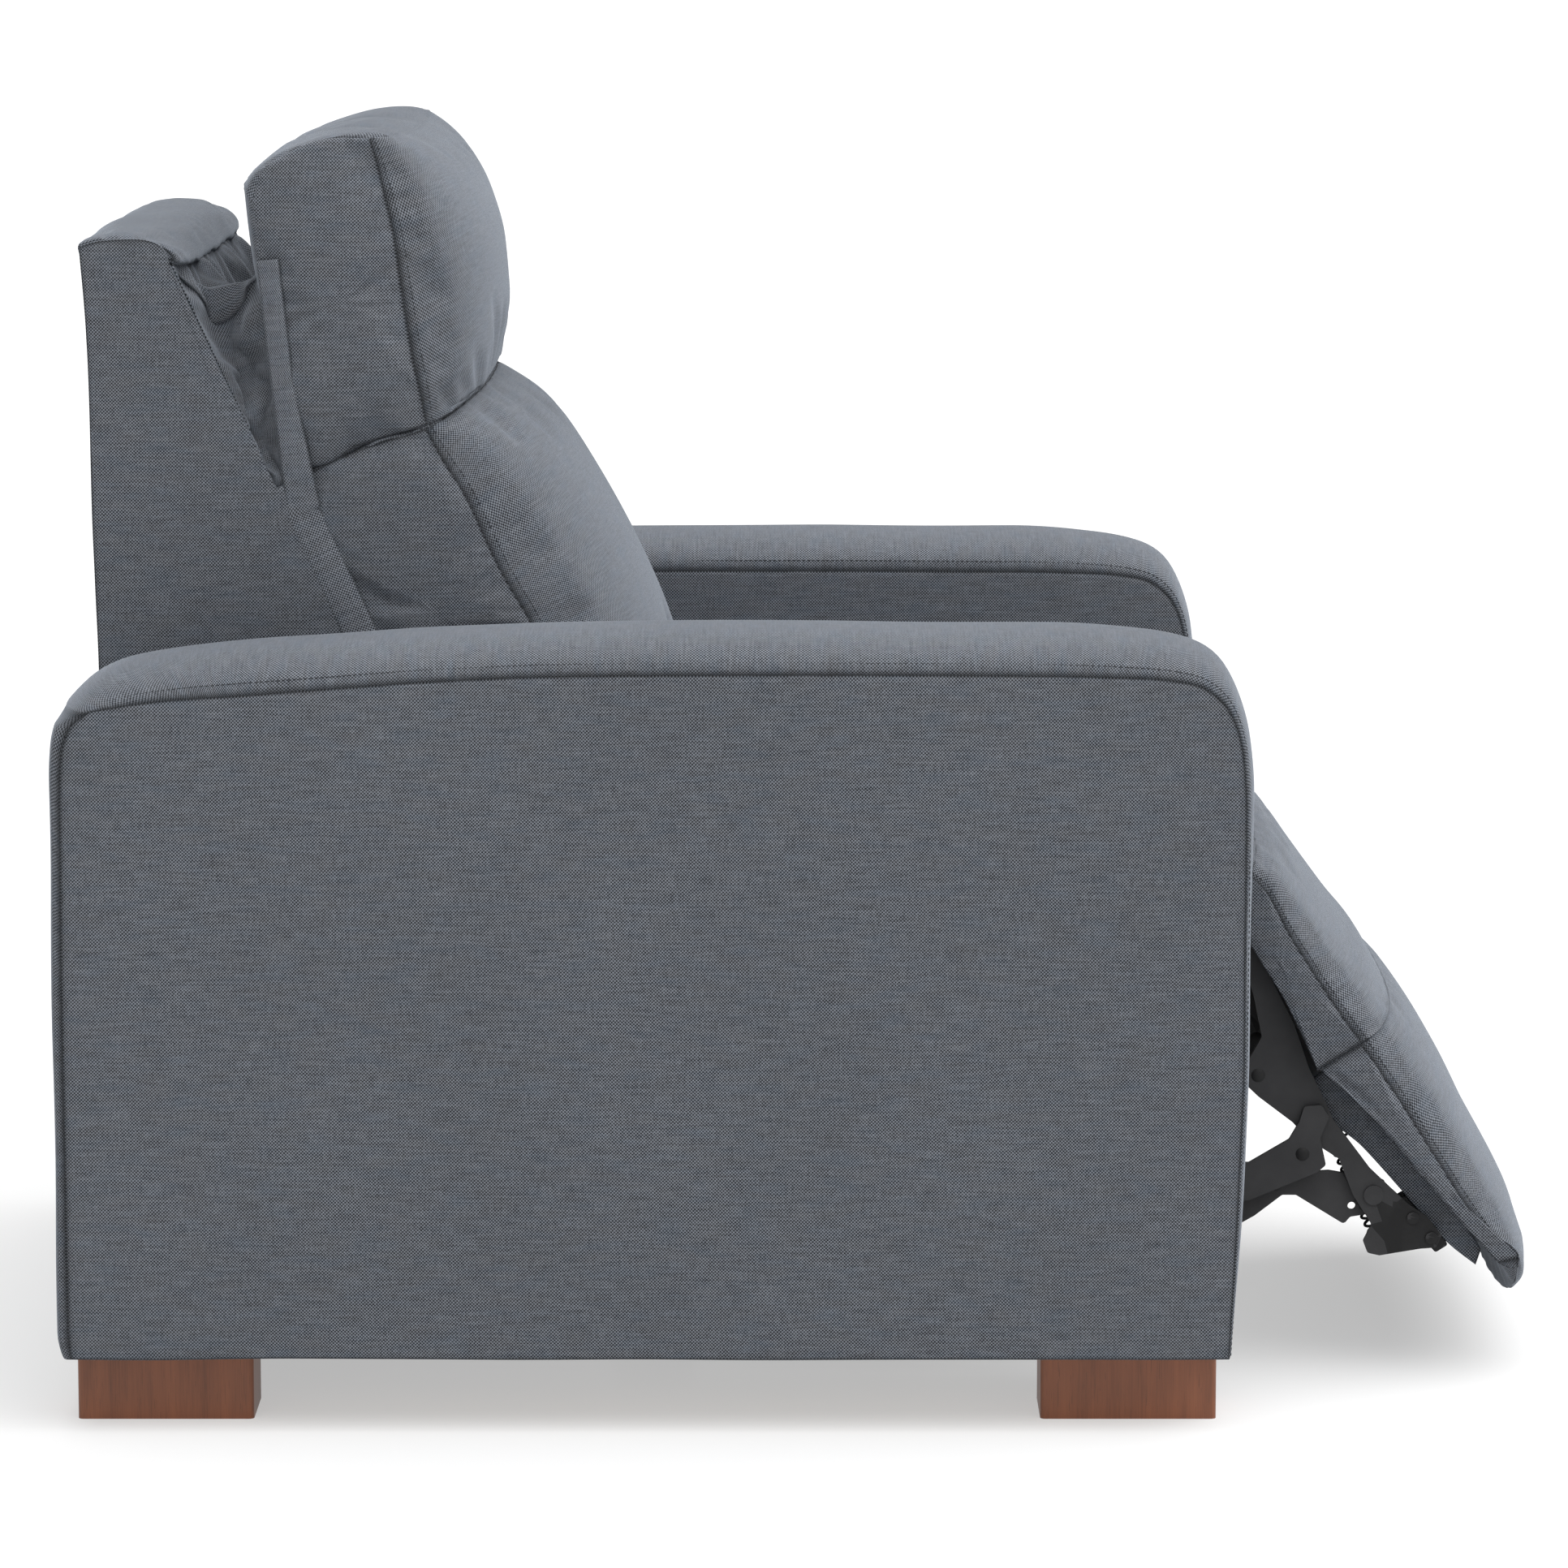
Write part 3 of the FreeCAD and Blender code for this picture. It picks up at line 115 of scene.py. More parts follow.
class Shader(Nodes):
    """A material, with the patterns that the materials share."""

    def __init__(self, name):
        self.material = bpy.data.materials.new(name)
        self.material.use_nodes = True
        super().__init__(self.material.node_tree)
        self.surface = self.tree.nodes["Principled BSDF"]

    def finish(self, inputs):
        """Give the surface its inputs, and return the material."""
        for key, value in inputs.items():
            self.give(self.surface, key, value)
        return self.material

    def noise(self, vector, scale=1.0, detail=2.0, roughness=0.5):
        node = self.add("ShaderNodeTexNoise", {"Vector": vector, "Scale": scale, "Detail": detail,
                                               "Roughness": roughness})
        return node.outputs["Fac"]

    def stretch(self, vector, scale):
        node = self.add("ShaderNodeMapping", {"Vector": vector, "Scale": scale})
        return node.outputs["Vector"]

    def ramp(self, value, stops):
        node = self.add("ShaderNodeValToRGB", {"Fac": value})
        ramp = node.color_ramp
        while len(ramp.elements) < len(stops):
            ramp.elements.new(0.5)
        for element, (place, colour) in zip(ramp.elements, stops):
            element.position = place
            element.color = (*colour, 1.0)
        return node.outputs["Color"]

    def mix(self, factor, first, second, blend="MIX"):
        node = self.add("ShaderNodeMix", data_type="RGBA", blend_type=blend)
        self.give(node, 0, factor)
        self.give(node, 6, first)
        self.give(node, 7, second)
        return node.outputs[2]

    def spread(self, value, width, middle=0.0):
        """A pattern from 0 to 1 taken to a band of this width about the middle value."""
        return self.math("MULTIPLY_ADD", value, width, middle - width / 2)

    def bump(self, height, depth, strength):
        node = self.add("ShaderNodeBump", {"Height": height, "Distance": depth, "Strength": strength})
        self.give(self.surface, "Normal", node.outputs["Normal"])


def shaded(colour, share):
    """The colour made lighter or darker."""
    return tuple(c * share for c in colour)


def dusted(colour, gain, grey):
    """The colour under a thin film of dust."""
    return tuple(min(1.0, c * gain + grey) for c in colour)


# Woven fabric: lengths in metres, patterns as repeats per metre across, along and through the cloth
YARN_PITCH = 0.0013
YARN_WANDER = 1.6
WANDER_PATTERN = 160.0
YARN_CONTRAST = 0.95
WEFT_PATTERN = (40, 560, 1)
WARP_PATTERN = (560, 70, 1)
SLUB_PATTERN = (12, 420, 1)
MOTTLE_PATTERN = (30, 90, 1)
FIBRE_PATTERN = 900.0
BROAD_PATTERN = 5.0
WEFT_SHARE = 0.7
WARP_SHARE = 0.5
FIBRE_SHARE = 0.5
HALF_TONE = 0.45
MOTTLE_GAIN = 3.0
MOTTLE_START = 1.45
WARM_SHARE = 0.20
BLUE_SHARE = 0.30
WARM_YARN = (0.115, 0.105, 0.096, 1.0)
BLUE_YARN = (0.075, 0.108, 0.150, 1.0)
SLUB_SHADE = 0.26
BROAD_SHADE = 0.16
# Darkening along seams: painted shade of the seam creases, and dust
SEAM_DUST_AND_SHADE = 0.78
FABRIC_ROUGHNESS = 0.8
ROUGHNESS_SPREAD = 0.15
FABRIC_SHINE = 0.2
SHEEN_WEIGHT = 0.42
SHEEN_ROUGHNESS = 0.38
SHEEN_TINT = (0.80, 0.88, 1.0, 1.0)
SLUB_HEIGHT = 0.4
WEAVE_RELIEF = 0.00028
WEAVE_STRENGTH = 0.55


def make_fabric(name, dark, light, mapped=True):
    """Two-tone plain weave with slubs, read from the piece's own weave map in metres.

    A flat panel across the chair has no map: its weave lies along its width and height.
    """
    shader = Shader(name)
    place = shader.add("ShaderNodeTexCoord").outputs["Object"]
    if mapped:
        weave_map = shader.add("ShaderNodeUVMap", uv_map="weave").outputs["UV"]
    else:
        sides = shader.add("ShaderNodeSeparateXYZ", {"Vector": place}).outputs
        flat = shader.add("ShaderNodeCombineXYZ", {"X": sides["X"], "Y": sides["Z"]})
        weave_map = flat.outputs["Vector"]
    axes = shader.add("ShaderNodeSeparateXYZ", {"Vector": weave_map}).outputs
    turns = math.pi / YARN_PITCH
    uneven = shader.math("MULTIPLY", shader.noise(weave_map, WANDER_PATTERN), YARN_WANDER)
    across = shader.math("SINE", shader.math("MULTIPLY_ADD", axes["X"], turns, uneven))
    along = shader.math("SINE", shader.math("MULTIPLY_ADD", axes["Y"], turns, uneven))
    crossing = shader.math("MULTIPLY", across, along)
    over = shader.math("MULTIPLY_ADD", crossing, YARN_CONTRAST, 0.5, clamp=True)
    weft = shader.noise(shader.stretch(weave_map, WEFT_PATTERN), detail=3.0)
    warp = shader.noise(shader.stretch(weave_map, WARP_PATTERN), detail=3.0)
    slub = shader.noise(shader.stretch(weave_map, SLUB_PATTERN))
    mottle = shader.noise(shader.stretch(weave_map, MOTTLE_PATTERN), detail=3.0)
    fibre = shader.noise(weave_map, FIBRE_PATTERN)
    broad = shader.noise(place, BROAD_PATTERN, detail=3.0)

    tone = shader.math("ADD", over, shader.spread(weft, WEFT_SHARE))
    tone = shader.math("ADD", tone, shader.spread(warp, WARP_SHARE))
    tone = shader.math("ADD", tone, shader.spread(fibre, FIBRE_SHARE), clamp=True)
    middle = tuple((a + b) * HALF_TONE for a, b in zip(dark, light))
    colour = shader.ramp(tone, [(0.0, dark), (0.5, middle), (1.0, light)])
    warm = shader.math("MULTIPLY_ADD", mottle, MOTTLE_GAIN, -MOTTLE_START, clamp=True)
    blue = shader.math("MULTIPLY_ADD", mottle, -MOTTLE_GAIN, MOTTLE_START, clamp=True)
    colour = shader.mix(shader.math("MULTIPLY", warm, WARM_SHARE), colour, WARM_YARN)
    colour = shader.mix(shader.math("MULTIPLY", blue, BLUE_SHARE), colour, BLUE_YARN)

    shade = shader.math("MULTIPLY", shader.spread(slub, SLUB_SHADE, 1.0),
                        shader.spread(broad, BROAD_SHADE, 1.0))
    # Painted shade and dust: the fabric is darkened towards its seams, standing in for the shade in the seam
    # creases
    seam = shader.add("ShaderNodeAttribute", attribute_name="seam").outputs["Fac"]
    shade = shader.math("MULTIPLY", shade, shader.math("MULTIPLY_ADD", seam, -SEAM_DUST_AND_SHADE, 1.0))
    grey = shader.add("ShaderNodeCombineXYZ", {0: shade, 1: shade, 2: shade}).outputs["Vector"]
    colour = shader.mix(1.0, colour, grey, "MULTIPLY")
    rough = shader.math("MULTIPLY_ADD", weft, ROUGHNESS_SPREAD, FABRIC_ROUGHNESS)
    shader.bump(shader.math("MULTIPLY_ADD", slub, SLUB_HEIGHT, over), WEAVE_RELIEF, WEAVE_STRENGTH)
    return shader.finish({"Base Color": colour, "Roughness": rough, "Specular IOR Level": FABRIC_SHINE,
                          "Sheen Weight": SHEEN_WEIGHT, "Sheen Roughness": SHEEN_ROUGHNESS,
                          "Sheen Tint": SHEEN_TINT})


# Wood: grain and figure as repeats per metre, across the fibres and along them, then their shares
GRAIN_ACROSS = 900.0
GRAIN_ALONG = 30.0
FIGURE_ACROSS = 70.0
FIGURE_ALONG = 9.0
GRAIN_SHARE = 0.5
FIGURE_SHARE = 0.75
PORE_LEVEL = 0.68
PORE_DEPTH = 0.4
PORE_SHADE = 0.4
BRIGHT_SHADE = 1.25
WOOD_STOPS = (0.3, 0.62, 0.85)
WOOD_ROUGHNESS = 0.34
WOOD_ROUGHNESS_SPREAD = 0.2
VARNISH = 0.15
VARNISH_ROUGHNESS = 0.3


def make_wood(name, pale, deep, along):
    """Fine straight grain along one axis, with darker pores."""
    shader = Shader(name)
    place = shader.add("ShaderNodeTexCoord").outputs["Object"]
    fine = [GRAIN_ACROSS] * 3
    broad = [FIGURE_ACROSS] * 3
    fine[along] = GRAIN_ALONG
    broad[along] = FIGURE_ALONG
    grain = shader.noise(shader.stretch(place, fine), detail=3.0, roughness=0.6)
    figure = shader.noise(shader.stretch(place, broad), detail=3.0, roughness=0.55)
    figure = shader.math("MULTIPLY", figure, FIGURE_SHARE)
    tone = shader.math("MULTIPLY_ADD", grain, GRAIN_SHARE, figure, clamp=True)
    colour = shader.ramp(tone, list(zip(WOOD_STOPS, (deep, pale, shaded(pale, BRIGHT_SHADE)))))
    pores = shader.noise(shader.stretch(place, fine), scale=1.6, detail=1.0)
    pores = shader.math("MULTIPLY", shader.math("GREATER_THAN", pores, PORE_LEVEL), PORE_DEPTH)
    colour = shader.mix(pores, colour, (*shaded(deep, PORE_SHADE), 1.0))
    rough = shader.math("MULTIPLY_ADD", grain, WOOD_ROUGHNESS_SPREAD, WOOD_ROUGHNESS)
    shader.bump(grain, depth=0.0001, strength=0.4)
    return shader.finish({"Base Color": colour, "Roughness": rough, "Coat Weight": VARNISH,
                          "Coat Roughness": VARNISH_ROUGHNESS})


# Steel: patterns as repeats per metre
PEEL_PATTERN = 900.0
DUST_PATTERN = 35.0
DUST_STOPS = (0.35, 0.75)
DUST_ROUGHNESS = 0.22
WORN_EDGE = 0.56
BARE_STEEL = (0.2, 0.2, 0.21, 1.0)
PAINT_SHINE = 0.22
PLATED_SHINE = 0.5


def make_metal(name, base, roughness, worn=0.0, plated=False):
    """Painted or plated steel: orange-peel bump, dust, and paint worn at the edges."""
    shader = Shader(name)
    place = shader.add("ShaderNodeTexCoord").outputs["Object"]
    peel = shader.noise(place, PEEL_PATTERN)
    dust = shader.noise(place, DUST_PATTERN, detail=4.0)
    edge = shader.add("ShaderNodeNewGeometry").outputs["Pointiness"]
    bare = shader.math("MULTIPLY", shader.math("GREATER_THAN", edge, WORN_EDGE), worn)
    colour = shader.ramp(dust, list(zip(DUST_STOPS, (base, dusted(base, gain=1.6, grey=0.012)))))
    rough = shader.math("MULTIPLY_ADD", dust, DUST_ROUGHNESS, roughness)
    shader.bump(peel, depth=0.00006, strength=0.5)
    return shader.finish({"Base Color": shader.mix(bare, colour, BARE_STEEL), "Roughness": rough,
                          "Metallic": 1.0 if plated else 0.0,
                          "Specular IOR Level": PLATED_SHINE if plated else PAINT_SHINE})


# Plastic: patterns as repeats per metre
SPARK_PATTERN = 1400.0
SMEAR_PATTERN = 20.0
SMEAR_STOPS = (0.3, 0.8)
PLASTIC_ROUGHNESS = 0.45
SMEAR_ROUGHNESS = 0.15


def make_plastic(name, base):
    """Moulded plastic with a fine spark-eroded grain."""
    shader = Shader(name)
    place = shader.add("ShaderNodeTexCoord").outputs["Object"]
    grain = shader.add("ShaderNodeTexVoronoi", {"Vector": place, "Scale": SPARK_PATTERN})
    smear = shader.noise(place, SMEAR_PATTERN, detail=3.0)
    colour = shader.ramp(smear, list(zip(SMEAR_STOPS, (base, dusted(base, gain=1.5, grey=0.005)))))
    rough = shader.math("MULTIPLY_ADD", smear, SMEAR_ROUGHNESS, PLASTIC_ROUGHNESS)
    shader.bump(grain.outputs["Distance"], depth=0.00008, strength=0.5)
    return shader.finish({"Base Color": colour, "Roughness": rough})


# Thread: its twist as repeats per metre
TWIST_PATTERN = 900.0
TWIST_UNEVEN = 2.0
TWIST_STOPS = (0.2, 0.9)
THREAD_ROUGHNESS = 0.7


def make_thread(name, base):
    """Twisted sewing thread."""
    shader = Shader(name)
    place = shader.add("ShaderNodeTexCoord").outputs["Object"]
    wave = shader.add("ShaderNodeTexWave", {"Vector": place, "Scale": TWIST_PATTERN,
                                            "Distortion": TWIST_UNEVEN})
    twist = wave.outputs["Fac"]
    colour = shader.ramp(twist, list(zip(TWIST_STOPS, (base, shaded(base, 2)))))
    shader.bump(twist, depth=0.0001, strength=0.4)
    return shader.finish({"Base Color": colour, "Roughness": THREAD_ROUGHNESS})


FABRIC_DARK = (0.008, 0.009, 0.012)
FABRIC_LIGHT = (0.226, 0.244, 0.276)
fabric = make_fabric("slate woven fabric", FABRIC_DARK, FABRIC_LIGHT)
# The gusset is the main cloth painted 15 % darker: painted shade of its recess between the outer back and
# the headrest
shaded_gusset_fabric = make_fabric("gusset fabric", shaded(FABRIC_DARK, 0.85), shaded(FABRIC_LIGHT, 0.85))
walnut = make_wood("walnut stained feet", pale=(0.240, 0.080, 0.033), deep=(0.138, 0.042, 0.016), along=2)
frame_timber = make_wood("frame timber", pale=(0.50, 0.36, 0.21), deep=(0.36, 0.24, 0.13), along=1)
# The border strip is the main cloth painted 20 % lighter: painted light for the brighter sheen its upright
# weave catches
strip_fabric = make_fabric("border strip fabric", FABRIC_DARK, shaded(FABRIC_LIGHT, 1.2))
panel_fabric = make_fabric("rear panel fabric", FABRIC_DARK, FABRIC_LIGHT, mapped=False)
black_steel = make_metal("black satin steel", (0.010, 0.010, 0.0105), roughness=0.5, worn=0.12)
spring_steel = make_metal("black spring steel", (0.010, 0.010, 0.011), roughness=0.4, worn=0.1)
zinc = make_metal("zinc plated steel", (0.42, 0.42, 0.43), roughness=0.3, plated=True)
black_plastic = make_plastic("black moulded plastic", (0.014, 0.014, 0.016))
button_plastic = make_plastic("grey button plastic", (0.07, 0.07, 0.075))
thread = make_thread("dark seam thread", (0.012, 0.014, 0.018))

SLOT_MATERIALS = {"walnut": walnut, "frame_wood": frame_timber, "black_steel": black_steel,
                  "spring_steel": spring_steel, "black_plastic": black_plastic, "zinc_bolt": zinc,
                  "upholstery": fabric}


# Soft goods: closed forms made of rows across the chair, with sewn seams between their panels

# Millimetres from a seam: the nearest rows, how far it draws the fabric in and paints shade on it, and the
# side face's rings
FINE = (0.0, 1.6, 5.0)
SEAM_REACH = 2.2
SIDE_SEAM_REACH = 2.4
SIDE_STEPS = (1.8, 5.0, 14.0)
NO_SEAM = 99.0
# Shares: how deep a seam is on the side face and how much painted shade it gets there, and the size of the
# face's smallest ring
SIDE_SEAM_SHARE = 0.8
SIDE_MIDDLE = 0.12


def lengths_along(points):
    """Distance of each point from the first one, along the path."""
    return np.concatenate(([0.0], np.cumsum(np.linalg.norm(np.diff(points, axis=0), axis=1))))


def gentle_slopes(points, knots):
    """Slopes that never overshoot: a coordinate that turns back is level where it turns."""
    steps = np.diff(points, axis=0) / np.diff(knots)[:, None]
    slopes = np.empty_like(points)
    slopes[0], slopes[-1] = steps[0], steps[-1]
    before, after = steps[:-1], steps[1:]
    onward = before * after > 0
    slopes[1:-1] = np.where(onward, 2 * before * after / np.where(onward, before + after, 1.0), 0.0)
    return slopes


def curve_through(points, step):
    """Smooth rows through the points of one panel, closer together at its two seams."""
    points = np.array(points, float)
    knots = lengths_along(points)
    total = knots[-1]
    slopes = gentle_slopes(points, knots)
    middle = max(1, round((total - 2 * FINE[-1]) / step))
    places = list(FINE[:-1]) + list(np.linspace(FINE[-1], total - FINE[-1], middle + 1))
    places += [total - FINE[1]]
    rows = []
    for place in places:
        span = min(int(np.searchsorted(knots, place, side="right")) - 1, len(points) - 2)
        width = knots[span + 1] - knots[span]
        t = (place - knots[span]) / width
        rows.append((2 * t ** 3 - 3 * t ** 2 + 1) * points[span]
                    + (t ** 3 - 2 * t ** 2 + t) * width * slopes[span]
                    + (3 * t ** 2 - 2 * t ** 3) * points[span + 1]
                    + (t ** 3 - t ** 2) * width * slopes[span + 1])
    return rows, [min(place, total - place) for place in places]


class SoftForm:
    """A cushion-like form from the side outlines of its panels.

    Each panel is (fullness, sewn, points). A point is (side, middle), each (forward, up), and
    sewn says whether a seam runs across the chair where the panel starts. A panel starts where
    the one before it ends.
    """

    def __init__(self, name, panels, reach, step=9.0, middle_x=0.0, stations=44, bulge=4.0, turn=0.0,
                 pivot=(0.0, 0.0), side_panels=None):
        self.name = name
        self.reach = reach
        self.middle_x = middle_x
        self.pivot = pivot
        self.turn = math.radians(turn)
        self.verts, self.faces, self.seam_value, self.pinned = [], [], [], []
        self.panel_of, self.seam_rows = [], []
        sides, middles, fullness, seam_gap = self.lay_rows(panels, step)
        self.count = len(sides)
        self.rings = stations + 1
        every = range(len(panels))
        self.side_sewn = [float(number in (side_panels or every)) for number in self.panel_of]
        for x in -reach * np.cos(np.linspace(0, math.pi, self.rings)):
            share = min(1.0, abs(x) / reach)
            swell = (1.0 - share ** fullness) ** (1.0 / fullness)
            self.add_ring(x, sides + (middles - sides) * swell, seam_gap, 1.0 if share > 0.9999 else 0.0)
        for ring in range(self.rings - 1):
            for row in range(self.count):
                after = (row + 1) % self.count
                a, b = ring * self.count, (ring + 1) * self.count
                self.faces.append((a + row, a + after, b + after, b + row))
        self.band_count = len(self.faces)
        self.close_sides(sides, bulge)

    def lay_rows(self, panels, step):
        """Each row's place at the sides and in the middle, its fullness and its distance to a seam."""
        sides, middles, fullness, seam_gap = [], [], [], []
        for number, (full, sewn, points) in enumerate(panels):
            rows, gaps = curve_through([(*side, *middle) for side, middle in points], step)
            if sewn:
                self.seam_rows.append(len(sides))
            next_sewn = panels[(number + 1) % len(panels)][1]
            for index, (row, gap) in enumerate(zip(rows, gaps)):
                first_half = index < len(rows) / 2
                sides.append(row[:2])
                middles.append(row[2:])
                fullness.append(full)
                seam_gap.append(gap if (sewn if first_half else next_sewn) else NO_SEAM)
                self.panel_of.append(number)
        return np.array(sides), np.array(middles), np.array(fullness)[:, None], seam_gap

    def add_ring(self, x, outline, seam_gap, side_seam):
        """One ring of points at a station across the chair, turned about the form's pivot."""
        for (out, up), gap, sewn in zip(outline, seam_gap, self.side_sewn):
            forward = self.pivot[0] + out * math.cos(self.turn) - up * math.sin(self.turn)
            height = self.pivot[1] + out * math.sin(self.turn) + up * math.cos(self.turn)
            self.verts.append(spot(self.middle_x + x, forward, height))
            self.seam_value.append(max(side_seam * sewn, max(0.0, 1.0 - gap / SEAM_REACH)))
            self.pinned.append(side_seam > 0.5 or gap < 0.1)

    def close_sides(self, sides, bulge):
        """Side panels: rings that shrink towards the middle of the side face."""
        centre = (sides.min(axis=0) + sides.max(axis=0)) / 2
        size = np.linalg.norm(sides - centre, axis=1).mean()
        near, far, spacing = SIDE_STEPS
        steps = [1 - near / size, 1 - far / size]
        steps += list(np.linspace(1 - spacing / size, SIDE_MIDDLE, max(6, int(size / spacing))))
        no_seam = [NO_SEAM] * self.count
        for side, first_ring in ((-1, 0), (1, self.rings - 1)):
            previous = first_ring * self.count
            for scale in steps:
                start = len(self.verts)
                rise = bulge * (1 - scale ** 2) ** 0.5
                self.add_ring(side * (self.reach + rise), centre + (sides - centre) * scale, no_seam, 0.0)
                seam = SIDE_SEAM_SHARE * max(0.0, 1.0 - (1 - scale) * size / SIDE_SEAM_REACH)
                self.seam_value[start:] = [seam * sewn for sewn in self.side_sewn]
                for row in range(self.count):
                    after = (row + 1) % self.count
                    quad = (previous + row, start + row, start + after, previous + after)
                    self.faces.append(quad if side < 0 else quad[::-1])
                previous = start
            tip = len(self.verts)
            self.add_ring(side * (self.reach + bulge), [centre], [NO_SEAM], 0.0)
            for row in range(self.count):
                after = (row + 1) % self.count
                fan = (previous + row, tip, previous + after)
                self.faces.append(fan if side < 0 else fan[::-1])

    def make(self):
        """The form's piece, with its weave map and its seams."""
        piece = add_mesh(self.name, self.verts, [], self.faces)
        mesh = piece.data
        mesh.validate()
        mark_seams(mesh, self.seam_value)
        self.map_weave(mesh)
        recalculate(mesh)
        mesh.materials.append(fabric)
        return piece

    def map_weave(self, mesh):
        """Lay the weave along the rows and rings in true lengths, and flat on the side faces."""
        layer = mesh.uv_layers.new(name="weave")
        coordinates = np.array([v.co[:] for v in mesh.vertices])
        grid = coordinates[:self.rings * self.count].reshape(self.rings, self.count, 3)
        ring = grid[self.rings // 2]
        arc = lengths_along(ring)
        closing = arc[-1] + np.linalg.norm(ring[0] - ring[-1])
        across = np.array([lengths_along(grid[:, row]) for row in range(self.count)])
        across -= across[:, -1:] / 2
        for polygon in mesh.polygons:
            for loop in polygon.loop_indices:
                vertex = mesh.loops[loop].vertex_index
                co = coordinates[vertex]
                if polygon.index < self.band_count:
                    row = vertex % self.count
                    last = polygon.index % self.count == self.count - 1
                    along = closing if (row == 0 and last) else arc[row]
                    layer.data[loop].uv = (across[row, vertex // self.count], along)
                else:
                    layer.data[loop].uv = (co[1], co[2])


def mark_seams(mesh, values):
    """Remember how near each point is to a seam, from 0 to 1; the fabric paints seam shade and dust there.
    """
    mesh.attributes.new("seam", "FLOAT", "POINT").data.foreach_set("value", values)


def recalculate(mesh):
    """Point every face outwards."""
    work = bmesh.new()
    work.from_mesh(mesh)
    bmesh.ops.recalc_face_normals(work, faces=work.faces)
    work.to_mesh(mesh)
    work.free()


def rest_cloth(piece, held, frames, cap, gravity=0.0, **settings):
    """Let the piece settle as cloth held at some of its points, and keep the shape it takes.

    No point moves more than the cap, in millimetres.
    """
    group = piece.vertex_groups.new(name="held")
    group.add(held, 1.0, "REPLACE")
    before = np.array([v.co[:] for v in piece.data.vertices])
    cloth = piece.modifiers.new("cloth", "CLOTH")
    cloth.settings.vertex_group_mass = "held"
    cloth.settings.effector_weights.gravity = gravity
    for key, value in settings.items():
        setattr(cloth.settings, key, value)
    cloth.collision_settings.use_collision = False
    cloth.point_cache.frame_start = 1
    cloth.point_cache.frame_end = frames
    for number in range(1, frames + 1):
        scene.frame_set(number)
    shape = piece.evaluated_get(bpy.context.evaluated_depsgraph_get()).data
    move = np.array([v.co[:] for v in shape.vertices]) - before
    piece.modifiers.remove(cloth)
    scene.frame_set(1)
    length = np.linalg.norm(move, axis=1, keepdims=True) + 1e-9
    move *= np.minimum(1.0, cap * MM / length)
    piece.data.vertices.foreach_set("co", (before + move).ravel())
    piece.vertex_groups.remove(group)
    piece.data.update()


FILLING_FRAMES = 16


def inflate(piece, form, hold_panels, cap, pressure):
    """Fill a form: held at its seams and resting panels, its loose fabric is blown up a little."""
    held = [index for index, pin in enumerate(form.pinned) if pin]
    held += [ring * form.count + row for ring in range(form.rings) for row in range(form.count)
             if form.panel_of[row] in hold_panels]
    rest_cloth(piece, held, FILLING_FRAMES, cap, quality=5, use_pressure=True,
               uniform_pressure_force=pressure, shrink_min=-0.02, tension_stiffness=14.0,
               compression_stiffness=14.0, shear_stiffness=4.0, bending_stiffness=1.2)


def carve_seams(piece, depth=0.8):
    """Draw the fabric in along its seams."""
    mesh = piece.data
    values = [item.value for item in mesh.attributes["seam"].data]
    normals = [v.normal.copy() for v in mesh.vertices]
    for vertex, value, normal in zip(mesh.vertices, values, normals):
        vertex.co -= normal * (value * depth * MM)


def ruffle(piece, size, depth, seed):
    """Shallow unevenness of padding under the fabric."""
    mesh = piece.data
    normals = [v.normal.copy() for v in mesh.vertices]
    for vertex, normal in zip(mesh.vertices, normals):
        place = vertex.co / (size * MM) + Vector((seed, seed, seed))
        vertex.co += normal * (noise(place) * depth * MM)


def settle(piece):
    """Take the piece's modifiers into its mesh."""
    graph = bpy.context.evaluated_depsgraph_get()
    mesh = bpy.data.meshes.new_from_object(piece.evaluated_get(graph), preserve_all_data_layers=True,
                                           depsgraph=graph)
    piece.modifiers.clear()
    old = piece.data
    piece.data = mesh
    bpy.data.meshes.remove(old)
    mesh.name = piece.name


def refine(piece):
    """Split every face in four and smooth them."""
    modifier = piece.modifiers.new("smooth", "SUBSURF")
    modifier.levels = modifier.render_levels = 1
    modifier.use_limit_surface = False
    settle(piece)


def thicken(piece, thickness):
    """Give a sheet both its faces and closed edges."""
    modifier = piece.modifiers.new("thickness", "SOLIDIFY")
    modifier.thickness = thickness * MM
    modifier.offset = 0.0
    settle(piece)
    recalculate(piece.data)


def level(points):
    """Points that lie in the same place at the sides and in the middle."""
    return [(point, point) for point in points]


seam_paths = {}


def sew(body, points):
    """Remember the path of a row of stitches, in metres, on the body that carries it."""
    seam_paths.setdefault(body, []).append([Vector(point) for point in points])


# Rings and rows that topstitching keeps from a seam
STITCH_RING = 1
STITCH_ROW = 1


def sew_form(form, piece, body, sides=True, rows=()):
    """Rows of topstitching beside the form's side seams and beside its cross seams."""
    verts = piece.data.vertices
    if sides:
        sewn_rows = [row for row in range(form.count) if form.side_sewn[row]]
        for ring in (STITCH_RING, form.rings - 1 - STITCH_RING):
            sew(body, [verts[ring * form.count + row].co for row in sewn_rows])
    for number in rows:
        row = (form.seam_rows[number] + STITCH_ROW) % form.count
        sew(body, [verts[ring * form.count + row].co for ring in range(1, form.rings - 1)])


def dress(piece, body, node_names):
    """Finish a padded piece that takes the place of solids on one body."""
    refine(piece)
    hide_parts(*node_names)
    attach(piece, body)


def finish_soft(form, body, node_names, fill, rows=(), sides=True, **filling):
    """Make, fill, sew and dress a cushion."""
    piece = form.make()
    if filling:
        inflate(piece, form, **filling)
    carve_seams(piece)
    sew_form(form, piece, body, sides, rows)
    dress(piece, body, node_names)


# Arms: flat side panels, a crowned border that wraps over the top and down the front

